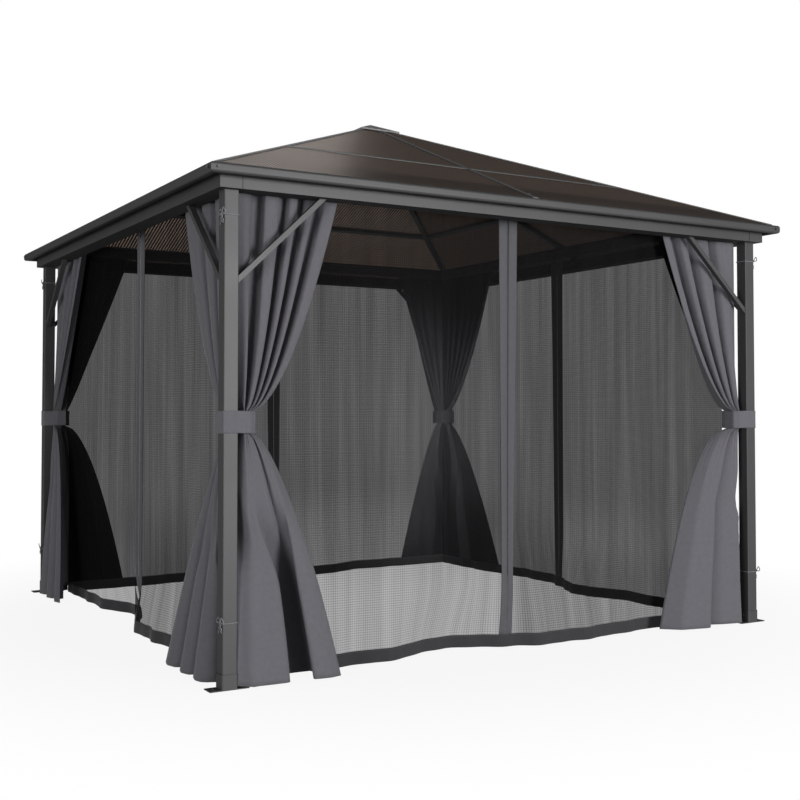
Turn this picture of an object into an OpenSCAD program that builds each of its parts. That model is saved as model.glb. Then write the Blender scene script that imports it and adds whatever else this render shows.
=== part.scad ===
// Square metal gazebo: four posts, a ring of beams, a hipped roof of
// hollow sheet panels, and nets and tied-back curtains on rails.
// Millimetres, +Z up, origin on the ground at the middle of the plan,
// front towards -Y.

/* [Plan] */
// Width of the roof from eave to eave, the same both ways
roof_span = 3000; // [2600:10:3600]
// How far the eaves stand out past the beams
eave_overhang = 60; // [45:1:100]
// Step from the outer face of a beam in to the face of a post
post_setback = 30; // [10:1:45]

/* [Posts and feet] */
// Ground to the underside of the beams
post_h = 1885; // [1700:5:2300]
// Width of a square post
post_w = 58; // [45:1:80]
// Wall of the post tube
post_wall = 2; // [1.5:0.1:4]
// Radius on the long edges of a post
post_edge = 3; // [2.5:0.1:6]
// Thickness of a foot plate
foot_plate_t = 4; // [3:0.5:8]
// How far a foot plate reaches past the post on two sides
foot_ear = 50; // [35:1:80]
// Height of the sleeve that a post stands in
foot_sleeve_h = 55; // [30:1:90]
// Wall of that sleeve
foot_sleeve_t = 3; // [2:0.5:5]
// Bolt hole in each ear
foot_hole_d = 10; // [7:0.5:14]

/* [Beams and braces] */
// Width of a beam, seen from below
beam_w = 90; // [70:1:120]
// Height of a beam
beam_h = 60; // [45:1:90]
// Wall of the beam tube
beam_wall = 2; // [1.5:0.1:4]
// Bevel on the outer ends of the front and back beams
beam_bevel = 3; // [1:0.5:5]
// Thickness of a knee brace in the plane of its side
brace_w = 20; // [14:1:30]
// Depth of a knee brace, across its side
brace_depth = 25; // [15:1:35]
// How far a brace reaches along the beam
brace_reach = 376; // [250:1:500]
// How far a brace reaches down the post
brace_drop = 355; // [250:1:500]
// Step from the post face in to the brace face
brace_inset = 5; // [2:1:12]

/* [Roof] */
// Slope of the roof in degrees
pitch = 22.8; // [15:0.1:30]
// Thickness of the roof sheets
panel_t = 4.5; // [3:0.5:8]
// Width of the rafters and purlins
rafter_w = 28; // [22:1:40]
// Upright height of a rafter below the roof plane
rafter_h = 32.5; // [26:0.5:45]
// Depth of a purlin below the roof plane, square to it
purlin_depth = 25; // [18:0.5:26]
// Thickness of the cover strips over the sheet edges
strip_t = 2.5; // [2:0.5:4]
// Width of the web between two sheets
web_w = 8; // [6:0.5:10]
// Height of the saddles between beams and rafters
saddle_h = 8; // [5:0.5:20]
// Eave to purlin, measured level
purlin_in = 550; // [350:5:800]
// Middle of the crown to each of its eight faces
crown_r = 75; // [60:1:100]
// Height of the crown
crown_h = 42; // [35:1:60]
// Width of the cap over the crown
cap_span = 232; // [190:2:320]
// Thickness of the cap sheet
cap_t = 3; // [2:0.5:5]
// Height of the turned-down rim of the cap
cap_lip = 8; // [5:0.5:20]

/* [Eaves] */
// Height of the eave profile
eave_h = 40; // [32:1:55]
// Depth of the eave profile
eave_w = 28; // [26:1:36]
// Depth of its nose in front of the sheets
eave_nose = 16; // [14:1:18]
// Radius on the two edges of the nose
eave_round = 12; // [6:0.5:14]
// Wall of the eave profile
eave_wall = 2; // [1.5:0.1:3]

/* [Rails] */
// Width of a curtain or net rail
rail_w = 14; // [12:0.5:20]
// Height of a rail
rail_h = 12; // [9:0.5:16]
// Wall of a rail
rail_wall = 1.6; // [1:0.1:2]
// Slot along the underside of a rail
rail_slot = 5; // [3:0.5:7]
// Inner faces of the frame to the line of the curtain rails
curtain_in = 28; // [27:0.5:45]
// Curtain rails to net rails
net_in = 40; // [38:0.5:70]

/* [Nets] */
// Thickness of a net as it hangs
net_t = 3; // [2.5:0.5:4]
// Thickness of its hem, heading and zip bands
net_band_t = 5; // [4:0.5:6]
// Height of the hem on the floor
net_hem_h = 55; // [50:5:150]
// Height of the heading under the rail
net_head_h = 54; // [30:2:90]
// Half width of the zip band in the middle of a side
net_zip_w = 52; // [30:1:80]
// Depth of the slack folds
net_fold = 6; // [0:0.5:6]
// How far the hem wanders on the floor
net_drift = 90; // [0:5:110]

/* [Curtains] */
// Reach of a gathered curtain along the front rail
curtain_top_w = 435; // [300:5:600]
// Its reach at the floor
curtain_hem_w = 450; // [300:5:600]
// Its reach where it is tied back
curtain_tie_w = 50; // [40:1:70]
// Reach along the side rail above the tie, against the reach along the front rail
curtain_side_ratio = 1.25; // [0.8:0.05:1.4]
// The same below the tie
curtain_hem_ratio = 1.05; // [0.8:0.05:1.4]
// Height of the lower edge of the tie
tie_z = 960; // [700:5:1200]
// Height of the tie band
tie_h = 85; // [50:1:120]
// Thickness of the tie band
tie_t = 3; // [2:0.5:5]
// How far the curtain hangs clear of the floor
curtain_clear = 12; // [8:1:40]

/* [Net ties] */
// Height of the lower net ties
cord_low_z = 250; // [120:5:500]
// Beams down to the upper net ties
cord_drop = 95; // [60:5:250]
// Thickness of the tie cord
cord_d = 3; // [2:0.5:4]

/* [Hidden] */
NODES = [
    "foot_front_left", "foot_front_right", "foot_back_left", "foot_back_right",
    "post_front_left", "post_front_right", "post_back_left", "post_back_right",
    "brace_front_left", "brace_front_right", "brace_back_left", "brace_back_right",
    "beam_front", "beam_back", "beam_left", "beam_right",
    "eave_front", "eave_back", "eave_left", "eave_right",
    "hip_rafter_front_left", "hip_rafter_front_right",
    "hip_rafter_back_left", "hip_rafter_back_right",
    "mid_rafter_front", "mid_rafter_back", "mid_rafter_left", "mid_rafter_right",
    "purlins", "roof_sheets_front", "roof_sheets_back", "roof_sheets_left", "roof_sheets_right",
    "crown", "roof_cap", "rails",
    "net_front", "net_back", "net_left", "net_right",
    "curtain_front_left", "curtain_front_right", "curtain_back_left", "curtain_back_right",
    "curtain_ties", "net_ties",
];
node = "all";
$fn = 48;

frame_grey = [0.27, 0.27, 0.28];
sheet_brown = [0.24, 0.19, 0.17];
rail_black = [0.08, 0.08, 0.08];
cloth_grey = [0.36, 0.36, 0.38];
net_grey = [0.30, 0.30, 0.31];

// Working clearances: pieces that slide together, soft pieces, overlaps of one solid
fit = 0.3;
soft_gap = 0.5;
lap = 1;

// Plan lines, each measured from the middle of the plan
eave_r = roof_span / 2;
beam_r = eave_r - eave_overhang;
post_r = beam_r - post_setback;
post_axis = post_r - post_w / 2;
frame_in_r = beam_r - max(beam_w, post_setback + post_w);
curtain_r = frame_in_r - curtain_in;
net_r = curtain_r - net_in;
purlin_r = eave_r - purlin_in;
eave_back_r = eave_r - eave_w;
eave_lip_r = eave_r - eave_nose;

// Heights
beam_top = post_h + beam_h;
eave_z = beam_top + saddle_h + rafter_h - eave_overhang * tan(pitch);
panel_drop = panel_t / cos(pitch);
hip_pitch = atan(tan(pitch) / sqrt(2));
// Upper face of the sheets, at a level distance r from the middle
function roof_z(r) = eave_z + (eave_r - r) * tan(pitch);
function rafter_under(r) = roof_z(r) - rafter_h;
function rail_top(r) = rafter_under(r + rail_w / 2);
curtain_top = rail_top(curtain_r) - rail_h - soft_gap;
net_top = rail_top(net_r) - rail_h - soft_gap;
tie_top = tie_z + tie_h;
strip_rise = fit + strip_t / cos(pitch);

// Sides: front, right, back, left are quarter turns of the front one
side_turn = [["front", 0], ["right", 90], ["back", 180], ["left", 270]];
// Corners are mirror images of the front left one
corners = [["front_left", 0, 0], ["front_right", 1, 0], ["back_left", 0, 1], ["back_right", 1, 1]];

module at_corner(corner) {
    mirror([corner[1], 0, 0]) mirror([0, corner[2], 0]) children();
}

function is_node(name) = node == "all" || node == name;

// The wedge of plan that belongs to the front side, held back from the hips by a gap
module front_wedge(gap) {
    far = eave_r + eave_overhang;
    step = gap * sqrt(2);
    linear_extrude(roof_z(0) + cap_span)
        polygon([[0, -step], [-far, -far - step], [far, -far - step]]);
}

// A section drawn as (distance from the middle, height), drawn out along the front side
module along_front() {
    rotate([90, 0, 90]) linear_extrude(2 * eave_r, center = true) mirror([1, 0]) children();
}

// Frame of the front roof face: x along the eave, y up the slope, z out of the roof
module on_front_slope() {
    translate([0, -eave_r, eave_z]) rotate([pitch, 0, 0]) children();
}

function up_slope(r) = (eave_r - r) / cos(pitch);

// Square with round corners, exact arcs
module round_square(size, radius) {
    inner = size - 2 * radius;
    square([size, inner], center = true);
    square([inner, size], center = true);
    for (x = [-1, 1], y = [-1, 1]) translate([x, y] * inner / 2) circle(radius);
}

// Foot: a plate with two bolt ears and a sleeve round the post
module foot() {
    sleeve = post_w + 2 * (fit + foot_sleeve_t);
    hole_x = foot_hole_x();
    color(frame_grey) translate([-post_axis, -post_axis, 0]) {
        difference() {
            linear_extrude(foot_plate_t) square([post_w + 2 * foot_ear, sleeve], center = true);
            for (x = [-hole_x, hole_x])
                translate([x, 0, -lap]) cylinder(h = foot_plate_t + 2 * lap, d = foot_hole_d);
        }
        translate([0, 0, foot_plate_t / 2]) linear_extrude(foot_sleeve_h + foot_plate_t / 2)
            difference() {
                round_square(sleeve, post_edge + fit + foot_sleeve_t);
                round_square(post_w + 2 * fit, post_edge + fit);
            }
        linear_extrude(foot_plate_t) square(post_w, center = true);
    }
}

// Post axis to the middle of each bolt hole
function foot_hole_x() = post_w / 2 + (foot_ear + fit + foot_sleeve_t) / 2;

// Post: a square tube from the foot plate to the beams
module post() {
    color(frame_grey) translate([-post_axis, -post_axis, foot_plate_t])
        linear_extrude(post_h - foot_plate_t) difference() {
            round_square(post_w, post_edge);
            square(post_w - 2 * post_wall, center = true);
        }
}

// One knee brace: a bar cut flush to the post and to the beam
module knee_brace() {
    slope = atan(brace_drop / brace_reach);
    post_face = -(post_r - post_w);
    low = post_h - brace_drop;
    translate([0, -(post_r - brace_inset - brace_depth), 0])
        rotate([90, 0, 0]) linear_extrude(brace_depth) polygon([
            [post_face, low],
            [post_face + brace_reach, post_h],
            [post_face + brace_reach - brace_w / sin(slope), post_h],
            [post_face, low + brace_w / cos(slope)],
        ]);
}

// The two braces of a corner
module braces() {
    color(frame_grey) {
        knee_brace();
        mirror([1, -1, 0]) knee_brace();
    }
}

// Beam tube along X on the front line, with its ends open or closed
module beam(length, end_wall) {
    inside = [length - 2 * end_wall, beam_w - 2 * beam_wall, beam_h - 2 * beam_wall];
    color(frame_grey) translate([0, -beam_r + beam_w / 2, post_h + beam_h / 2]) difference() {
        cube([length, beam_w, beam_h], center = true);
        cube(inside, center = true);
    }
}

// Front and back beams fit between the side beams, which run through to the corners
module cross_beam() {
    half = beam_r - beam_w;
    color(frame_grey) difference() {
        beam(2 * half, -lap);
        for (end = [-half, half]) translate([end, -beam_r, post_h + beam_h / 2]) rotate(45)
            cube([beam_bevel * sqrt(2), beam_bevel * sqrt(2), beam_h + 2 * lap], center = true);
    }
}

module side_beam() {
    beam(2 * beam_r, beam_wall);
}

// Section of the eave: a bull nose with a ledge behind it for the sheet edge
module eave_section() {
    top = roof_z(eave_lip_r);
    ledge = top - panel_drop - fit;
    low = top - eave_h;
    translate([eave_back_r, low]) difference() {
        eave_outline(eave_w, eave_h, eave_round);
        translate([eave_wall, eave_wall])
            eave_outline(eave_w - 2 * eave_wall, ledge - low - 2 * eave_wall, eave_round - eave_wall);
        translate([-lap, ledge - low]) square([eave_w - eave_nose + lap, eave_h]);
    }
}

module eave_outline(deep, high, radius) {
    square([deep - radius, high]);
    translate([0, radius]) square([deep, high - 2 * radius]);
    for (y = [radius, high - radius]) translate([deep - radius, y]) circle(radius);
}

module eave() {
    color(frame_grey) intersection() {
        along_front() eave_section();
        front_wedge(fit / 2);
    }
}

// A bar that follows the slope in an upright plane, from r0 to r1 along +X.
// Stretch is 1 on the middle of a side and the root of 2 on a hip.
module slope_bar(stretch, r0, r1, above, below, wide) {
    rotate([90, 0, 0]) linear_extrude(wide, center = true) polygon([
        [stretch * r0, roof_z(r0) - below],
        [stretch * r1, roof_z(r1) - below],
        [stretch * r1, roof_z(r1) + above],
        [stretch * r0, roof_z(r0) + above],
    ]);
}

// A block under a rafter, from its underside down to a level seat
module rafter_block(stretch, r0, r1, seat_z) {
    rotate([90, 0, 0]) linear_extrude(rafter_w, center = true) polygon([
        [stretch * r0, seat_z],
        [stretch * r1, seat_z],
        [stretch * r1, rafter_under(r1) + lap],
        [stretch * r0, rafter_under(r0) + lap],
    ]);
}

// The blocks of a rafter: a saddle on the beam, and a hanger over each rail
module rafter_blocks(stretch) {
    saddle_end = beam_r - beam_w / 2;
    rafter_block(stretch, saddle_end, beam_r - brace_inset, beam_top);
    for (r = [curtain_r, net_r])
        rafter_block(stretch, r - rail_w / 2, r + rail_w / 2 - lap, rail_top(r));
}

// Middle rafter: bar, web between the sheets, cover strip
module mid_rafter() {
    color(frame_grey) {
        slope_bar(1, crown_r, eave_back_r, -panel_drop - fit, rafter_h, rafter_w);
        slope_bar(1, crown_r, eave_back_r, strip_rise / 2, rafter_h / 2, web_w);
        slope_bar(1, crown_r, eave_lip_r - fit, strip_rise, -fit, rafter_w);
        rafter_blocks(1);
    }
}

// Hip rafter: the same along a corner, with a cover folded over the hip
module hip_rafter() {
    turn = sqrt(2);
    side_fall = rafter_w / 2 * tan(hip_pitch);
    foot_r = eave_back_r - rafter_w / 2 / turn;
    color(frame_grey) {
        slope_bar(turn, crown_r / turn, foot_r, -panel_drop - fit - side_fall, rafter_h, rafter_w);
        slope_bar(turn, crown_r / turn, foot_r, strip_rise / 2, rafter_h / 2, web_w);
        hip_cover(crown_r, turn * (eave_lip_r - fit) - rafter_w / 2);
        rafter_blocks(turn);
    }
}

// Strip folded to the two slopes that meet on the hip, drawn out along it
module hip_cover(from, to) {
    half = rafter_w / 2;
    fall = half * tan(hip_pitch) * cos(hip_pitch);
    translate([0, 0, roof_z(0)]) rotate([0, 90 + hip_pitch, 0])
        translate([0, 0, from / cos(hip_pitch)]) linear_extrude((to - from) / cos(hip_pitch))
            polygon([
                [-fit, 0], [fall - fit, -half], [fall - fit - strip_t, -half],
                [-fit - strip_t, 0], [fall - fit - strip_t, half], [fall - fit, half],
            ]);
}

// Purlins of one face, cut to the middle rafter and to the hips
module face_purlins() {
    y = up_slope(purlin_r);
    intersection() {
        on_front_slope() difference() {
            union() {
                level_bar(y, rafter_w, -purlin_depth, -panel_t - fit);
                level_bar(y, web_w, -purlin_depth / 2, fit + strip_t / 2);
                level_bar(y, rafter_w, fit, fit + strip_t);
            }
            translate([-rafter_w / 2 - fit, 0, -purlin_depth - lap])
                cube([rafter_w + 2 * fit, 2 * y, 2 * purlin_depth]);
        }
        front_wedge(rafter_w / 2 + fit);
    }
}

// A bar along the eave direction, in the frame of a face
module level_bar(y, wide, low, high) {
    translate([-eave_r, y - wide / 2, low]) cube([2 * eave_r, wide, high - low]);
}

module purlins() {
    color(frame_grey) for (side = side_turn) rotate(side[1]) face_purlins();
}

// The four sheets of a face, each held back from the webs at its edges
module roof_sheets() {
    low = up_slope(eave_lip_r - fit);
    high = up_slope(crown_r + fit + panel_t * sin(pitch));
    slot = web_w + 2 * soft_gap;
    y = up_slope(purlin_r);
    color(sheet_brown) intersection() {
        on_front_slope() difference() {
            translate([-eave_r, low, -panel_t]) cube([2 * eave_r, high - low, panel_t]);
            translate([-slot / 2, 0, -2 * panel_t]) cube([slot, 2 * high, 4 * panel_t]);
            translate([-2 * eave_r, y - slot / 2, -2 * panel_t]) cube([4 * eave_r, slot, 4 * panel_t]);
        }
        front_wedge(slot / 2);
    }
}

// Crown: an eight-sided block that the rafters run up to
module crown() {
    corner_r = crown_r / cos(180 / 8);
    color(frame_grey) translate([0, 0, roof_z(crown_r) - crown_h])
        rotate(180 / 8) cylinder(h = crown_h, r = corner_r, $fn = 8);
}

// Cap: a shallow pyramid of sheet, whose rim stands on the cover strips
module roof_cap() {
    half = cap_span / 2;
    inner = half - cap_t;
    sheet = cap_t / cos(pitch) - cap_t * tan(pitch);
    color(frame_grey) translate([0, 0, roof_z(inner) + strip_rise]) difference() {
        square_pyramid(half, cap_lip);
        translate([0, 0, -lap]) square_pyramid(inner, cap_lip - sheet + lap);
    }
}

// Pyramid at the roof's own slope on a straight rim
module square_pyramid(half, rim) {
    linear_extrude(rim) square(2 * half, center = true);
    translate([0, 0, rim]) rotate(45)
        cylinder(h = half * tan(pitch), r1 = half * sqrt(2), r2 = 0, $fn = 4);
}

// Rails: on each side one for the curtains and, inside it, one for the net
module rail_section(r) {
    slot_h = rail_wall + 2 * lap;
    translate([r - rail_w / 2, rail_top(r) - rail_h]) difference() {
        square([rail_w, rail_h]);
        translate([rail_wall, rail_wall]) square([rail_w - 2 * rail_wall, rail_h - 2 * rail_wall]);
        translate([(rail_w - rail_slot) / 2, -lap]) square([rail_slot, slot_h]);
    }
}

module rails() {
    color(rail_black) for (side = side_turn, r = [curtain_r, net_r]) rotate(side[1])
        intersection() {
            along_front() rail_section(r);
            front_wedge(soft_gap / 2);
        }
}

// Closed skin over rings of points that all hold the same count, from the lowest up.
// Each ring runs clockwise seen from above, along one face of a sheet and back along
// the other. A strip between the two faces closes each end.
module skin(rings) {
    count = len(rings[0]);
    last = len(rings) - 1;
    points = [for (ring = rings) each ring];
    sides = [
        for (k = [0 : last - 1], i = [0 : count - 1])
            let (j = (i + 1) % count, a = k * count, b = a + count)
                each [[a + j, b + j, b + i], [a + j, b + i, a + i]]
    ];
    strip = [
        for (i = [0 : count / 2 - 2])
            let (j = count - 1 - i)
                each [[i, i + 1, j - 1], [i, j - 1, j]]
    ];
    bottom = [for (face = strip) [face[2], face[1], face[0]]];
    top = [for (face = strip) [for (i = face) last * count + i]];
    polyhedron(points, concat(bottom, sides, top));
}

function ease(x) = let (t = min(max(x, 0), 1)) t * t * (3 - 2 * t);

// Net: one side's net, with a hem, a heading and a zip band. It hangs in slack
// folds, and its hem wanders on the floor.
net_half = net_r - net_fold - net_band_t - soft_gap;
// Its lower edge over the floor
net_low = 3;
// Columns on each side of the zip band, and the step from net to band
net_steps = 10;
net_edge = 1;
// Folds along a side
net_waves = 2.5;
// The hem wanders below this height: it leans inwards, swings about that line once
// along the side and, towards one end, swings faster too
net_drift_h = 340;
net_lean = 0.25;
net_swing = 0.75;
net_swing_arc = 200;
net_swing_from = 25;
net_flick = 0.8;
net_flick_arc = 545;
net_flick_from = 104;
// Share of half the side on which it wanders freely, and on which it comes to rest
net_free = 0.3;
net_rest = 0.38;
net_columns = let (outer = net_zip_w + net_edge, step = (net_half - outer) / net_steps)
    concat(
        [for (i = [0 : net_steps]) net_half - i * step],
        [net_zip_w, 0, -net_zip_w],
        [for (i = [0 : net_steps]) -outer - i * step]
    );
net_hem_top = net_low + net_hem_h;
net_head_low = net_top - net_head_h;
net_rows = [
    net_low, net_hem_top, net_hem_top + net_edge, net_drift_h / 2, net_drift_h,
    (net_drift_h + net_head_low) / 2, net_head_low - net_edge, net_head_low, net_top,
];

function net_thick(x, z) =
    abs(x) <= net_zip_w || z <= net_hem_top || z >= net_head_low ? net_band_t : net_t;

// Sideways place of the net: folds all the way up, and the wander of the hem
function net_offset(x, z) =
    let (along = x / net_half)
        net_fold * sin(180 * net_waves * (along + 1)) * (1 - pow(abs(along), 4))
            + net_drift * net_wander(along) * (1 - ease(z / net_drift_h));
function net_wander(along) =
    let (
        swing = net_swing * sin(net_swing_arc * along + net_swing_from),
        flick = net_flick * cos(net_flick_arc * along + net_flick_from) * ease(0.5 - along)
    )
        (net_lean - swing + flick) * (1 - ease((abs(along) - net_free) / net_rest));

module net() {
    color(net_grey) skin([
        for (z = net_rows) concat(
            [for (x = net_columns) [x, -net_r + net_offset(x, z) - net_thick(x, z) / 2, z]],
            [for (i = [len(net_columns) - 1 : -1 : 0]) let (x = net_columns[i])
                [x, -net_r + net_offset(x, z) + net_thick(x, z) / 2, z]]
        )
    ]);
}

// Curtain: it follows both rails of a corner inside the post, is gathered by a tie
// and spreads again to the floor. Places are worked out in the corner of the rails,
// u along the front and v along the side.
// How tightly it turns the corner, and its pleats and columns along the rails
curtain_turn = 0.06;
curtain_pleats = 6;
curtain_steps = 24;
// Curve of its edges above and below the tie
curtain_sag = 0.95;
curtain_spread = 0.57;
// Least gap from the cloth to the frame or the net, and its step back from the post face
cloth_gap = 2;
cloth_step = 8;
// Room on each side of the curtain rail
curtain_room = min(curtain_in, net_in - net_fold - net_band_t / 2) - cloth_gap;
// Distance of the cloth from the rail line, outwards and inwards, and depth of its pleats
rail_pleat = 8;
rail_out = curtain_room - rail_pleat;
tie_out = post_r - curtain_r - cloth_step;
tie_in = curtain_room;
hem_out = 136;
hem_in = 12;
hem_pleat = 10;
// Distance outwards from the corner of the rails, behind the post, and inwards there
tie_corner = 38;
rail_corner = 28;
hem_corner = 48;
corner_in = 20;
// Share of the reach on which the cloth comes round the post
corner_run = 0.15;

function mix(a, b, t) = a + (b - a) * t;
function share(x, from, to) = min(max((x - from) / (to - from), 0), 1);
// A value at height z from its values at the tie, at the beams and at the floor
function from_tie(z, at_tie, at_rail, at_hem) = z > tie_z
    ? mix(at_tie, at_rail, share(z, tie_top, post_h))
    : mix(at_tie, at_hem, share(z, tie_z, curtain_clear));
function front_reach(z) = z > tie_z
    ? mix(curtain_tie_w, curtain_top_w, pow(share(z, tie_top, curtain_top), curtain_sag))
    : mix(curtain_tie_w, curtain_hem_w, pow(share(z, tie_z, curtain_clear), curtain_spread));
function side_reach(z) =
    mix(curtain_tie_w, front_reach(z), z > tie_z ? curtain_side_ratio : curtain_hem_ratio);
// Runs from 0 to 1 round the corner of the rails
function bend(t) = (t + sqrt(t * t + curtain_turn * curtain_turn)) / 2;
function bend_rate(t) = (1 + t / sqrt(t * t + curtain_turn * curtain_turn)) / 2;

// A point of the curtain at t from -1, the front end, to 1, the side end
function curtain_point(t, z, outside) =
    let (
        front = front_reach(z),
        side = side_reach(z),
        run = [-front * bend_rate(-t), side * bend_rate(t)],
        outward = [-run[1], run[0]] / norm(run),
        inward = [ease(1 + t), ease(1 - t)],
        past_post = ease(abs(t) / corner_run),
        pleat = from_tie(z, 0, rail_pleat, hem_pleat) * past_post * cos(180 * curtain_pleats * t),
        corner_out = from_tie(z, tie_corner, rail_corner, hem_corner),
        out = mix(corner_out, from_tie(z, tie_out, rail_out, hem_out), past_post) + pleat,
        in = mix(corner_in, from_tie(z, tie_in, rail_out, hem_in), past_post) - pleat,
        place = [front * bend(-t), side * bend(t)] + (outside ? outward * out : inward * in)
    )
        [place[0] - curtain_r, place[1] - curtain_r, z];

curtain_rows = concat(
    [for (k = [0 : 6]) mix(curtain_clear, tie_z, k / 6)],
    [for (k = [0 : 6]) mix(tie_top, post_h, k / 6)],
    [curtain_top]
);

module curtain() {
    ends = [for (i = [0 : curtain_steps]) 2 * i / curtain_steps - 1];
    color(cloth_grey) skin([
        for (z = curtain_rows) concat(
            [for (t = ends) curtain_point(t, z, true)],
            [for (t = ends) curtain_point(-t, z, false)]
        )
    ]);
}

// Tie band: a loop round the post and the gathered curtain
module curtain_tie() {
    color(cloth_grey) translate([0, 0, tie_z]) linear_extrude(tie_h) difference() {
        polygon(tie_loop(soft_gap + tie_t));
        polygon(tie_loop(soft_gap));
    }
}

// Corners of that loop, in order, each rounded by the distance it stands off
function tie_loop(off) =
    let (
        far = tie_round - post_r,
        near = curtain_tie_w - tie_round - curtain_r,
        deep = tie_in - tie_round - curtain_r + tie_slack,
        stops = [[far, far], [near, far], [near, deep], [deep, near], [far, near]],
        count = len(stops)
    )
        [
            for (i = [0 : count - 1])
                let (
                    before = heading(stops[(i + count - 1) % count], stops[i]) - 90,
                    after = before + turn_between(before, heading(stops[i], stops[(i + 1) % count]) - 90)
                )
                    for (k = [0 : tie_arc])
                        let (angle = mix(before, after, k / tie_arc))
                            stops[i] + (off + tie_round) * [cos(angle), sin(angle)]
        ];
// Radius of the corners of the loop, its slack on the inside, and points on a corner
tie_round = post_edge;
tie_slack = 4;
tie_arc = 4;
function heading(a, b) = atan2(b[1] - a[1], b[0] - a[0]);
function turn_between(a, b) = (b - a + 720) % 360;

module curtain_ties() {
    for (corner = corners) at_corner(corner) curtain_tie();
}

// Net tie: a cord round the post, knotted in a bow on its outer side
module net_tie() {
    inner = post_w + 2 * fit;
    edge = post_edge + fit;
    color(rail_black) translate([-post_axis, -post_axis, 0]) {
        linear_extrude(cord_d, center = true) difference() {
            round_square(inner + 2 * cord_d, edge + cord_d);
            round_square(inner, edge);
        }
        translate([-inner / 2 - cord_d + lap, -inner / 4, 0])
            rotate([90, 0, 270]) linear_extrude(cord_d + lap) bow();
    }
}

// The bow seen from outside: a knot, two loops and two hanging ends
module bow() {
    knot_r = 1.3 * cord_d;
    loop_r = 9;
    loop_lean = 62;
    end_length = 34;
    end_lean = 20;
    circle(knot_r);
    for (side = [-1, 1]) {
        rotate(90 + side * loop_lean) translate([loop_r, 0]) difference() {
            circle(loop_r + cord_d / 2);
            circle(loop_r - cord_d / 2);
        }
        rotate(270 + side * end_lean) translate([0, -cord_d / 2]) square([end_length, cord_d]);
    }
}

module net_ties() {
    for (corner = corners, z = [cord_low_z, post_h - cord_drop])
        at_corner(corner) translate([0, 0, z]) net_tie();
}

for (corner = corners) at_corner(corner) {
    if (is_node(str("foot_", corner[0]))) foot();
    if (is_node(str("post_", corner[0]))) post();
    if (is_node(str("brace_", corner[0]))) braces();
    if (is_node(str("curtain_", corner[0]))) curtain();
    if (is_node(str("hip_rafter_", corner[0]))) rotate(225) hip_rafter();
}
for (side = side_turn) rotate(side[1]) {
    if (is_node(str("eave_", side[0]))) eave();
    if (is_node(str("roof_sheets_", side[0]))) roof_sheets();
    if (is_node(str("net_", side[0]))) net();
    if (is_node(str("mid_rafter_", side[0]))) rotate(270) mid_rafter();
}
if (is_node("beam_front")) cross_beam();
if (is_node("beam_back")) rotate(180) cross_beam();
if (is_node("beam_left")) rotate(270) side_beam();
if (is_node("beam_right")) rotate(90) side_beam();
if (is_node("purlins")) purlins();
if (is_node("crown")) crown();
if (is_node("roof_cap")) roof_cap();
if (is_node("rails")) rails();
if (is_node("curtain_ties")) curtain_ties();
if (is_node("net_ties")) net_ties();
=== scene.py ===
"""Looks of the square metal gazebo: finishes for the frame and the roof, and the cloth,
nets, ties, screws and runners that hang on it. Metres, in the frame of the CAD model."""
import math

import bpy
import numpy as np
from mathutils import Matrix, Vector


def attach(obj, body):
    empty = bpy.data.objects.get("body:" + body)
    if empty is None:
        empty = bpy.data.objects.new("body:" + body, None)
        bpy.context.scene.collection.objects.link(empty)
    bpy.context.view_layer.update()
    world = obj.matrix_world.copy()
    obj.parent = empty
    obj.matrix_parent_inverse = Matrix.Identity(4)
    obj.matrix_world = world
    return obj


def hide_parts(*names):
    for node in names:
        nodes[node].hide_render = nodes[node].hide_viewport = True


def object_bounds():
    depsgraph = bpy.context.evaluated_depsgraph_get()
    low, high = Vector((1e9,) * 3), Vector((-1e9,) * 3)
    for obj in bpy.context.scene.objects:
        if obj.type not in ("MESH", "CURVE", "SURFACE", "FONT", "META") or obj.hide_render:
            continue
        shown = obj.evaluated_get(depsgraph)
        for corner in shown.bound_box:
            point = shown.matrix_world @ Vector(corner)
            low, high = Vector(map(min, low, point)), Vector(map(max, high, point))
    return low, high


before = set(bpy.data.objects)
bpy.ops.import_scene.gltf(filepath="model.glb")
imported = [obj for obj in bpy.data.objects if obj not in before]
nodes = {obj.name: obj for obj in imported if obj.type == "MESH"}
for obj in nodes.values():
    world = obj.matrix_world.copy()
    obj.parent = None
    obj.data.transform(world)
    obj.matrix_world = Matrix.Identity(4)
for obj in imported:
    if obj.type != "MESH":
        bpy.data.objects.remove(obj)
cad_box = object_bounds()


def span(name):
    """Lowest and highest place of a CAD node on each axis, to 0.1 mm."""
    places = np.array([vertex.co for vertex in nodes[name].data.vertices])
    return places.min(axis=0).round(4).tolist(), places.max(axis=0).round(4).tolist()


# Lines and levels that are read from the CAD model
post_least, post_most = span("post_front_left")
curtain_least, curtain_most = span("curtain_front_left")
net_least, net_most = span("net_front")
tie_least, tie_most = span("curtain_ties")
EAVE_R = round(cad_box[1][0], 4)
POST_R, POST_W, POST_H = -post_least[0], round(post_most[0] - post_least[0], 4), post_most[2]
POST_AXIS = POST_R - POST_W / 2
CURTAIN_CLEAR, CURTAIN_TOP = curtain_least[2], curtain_most[2]
NET_LOW, NET_TOP, NET_HALF = net_least[2], net_most[2], net_most[0]
TIE_Z, TIE_H = tie_least[2], round(tie_most[2] - tie_least[2], 4)
TIE_TOP, TIE_MIDDLE = TIE_Z + TIE_H, TIE_Z + TIE_H / 2

# The roof plane at the edge of the eaves, its slope, and the lines of the two rails
EAVE_Z, PITCH = 1.96028, math.radians(22.8)
CURTAIN_R, NET_R = 1.322, 1.282

# The front left corner and the front side are modelled: the other corners mirror x and y,
# and the other sides are turned by these degrees
CORNERS = {"front_left": (1, 1), "front_right": (-1, 1), "back_left": (1, -1), "back_right": (-1, -1)}
SIDES = {"front": 0, "right": 90, "back": 180, "left": 270}


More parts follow.
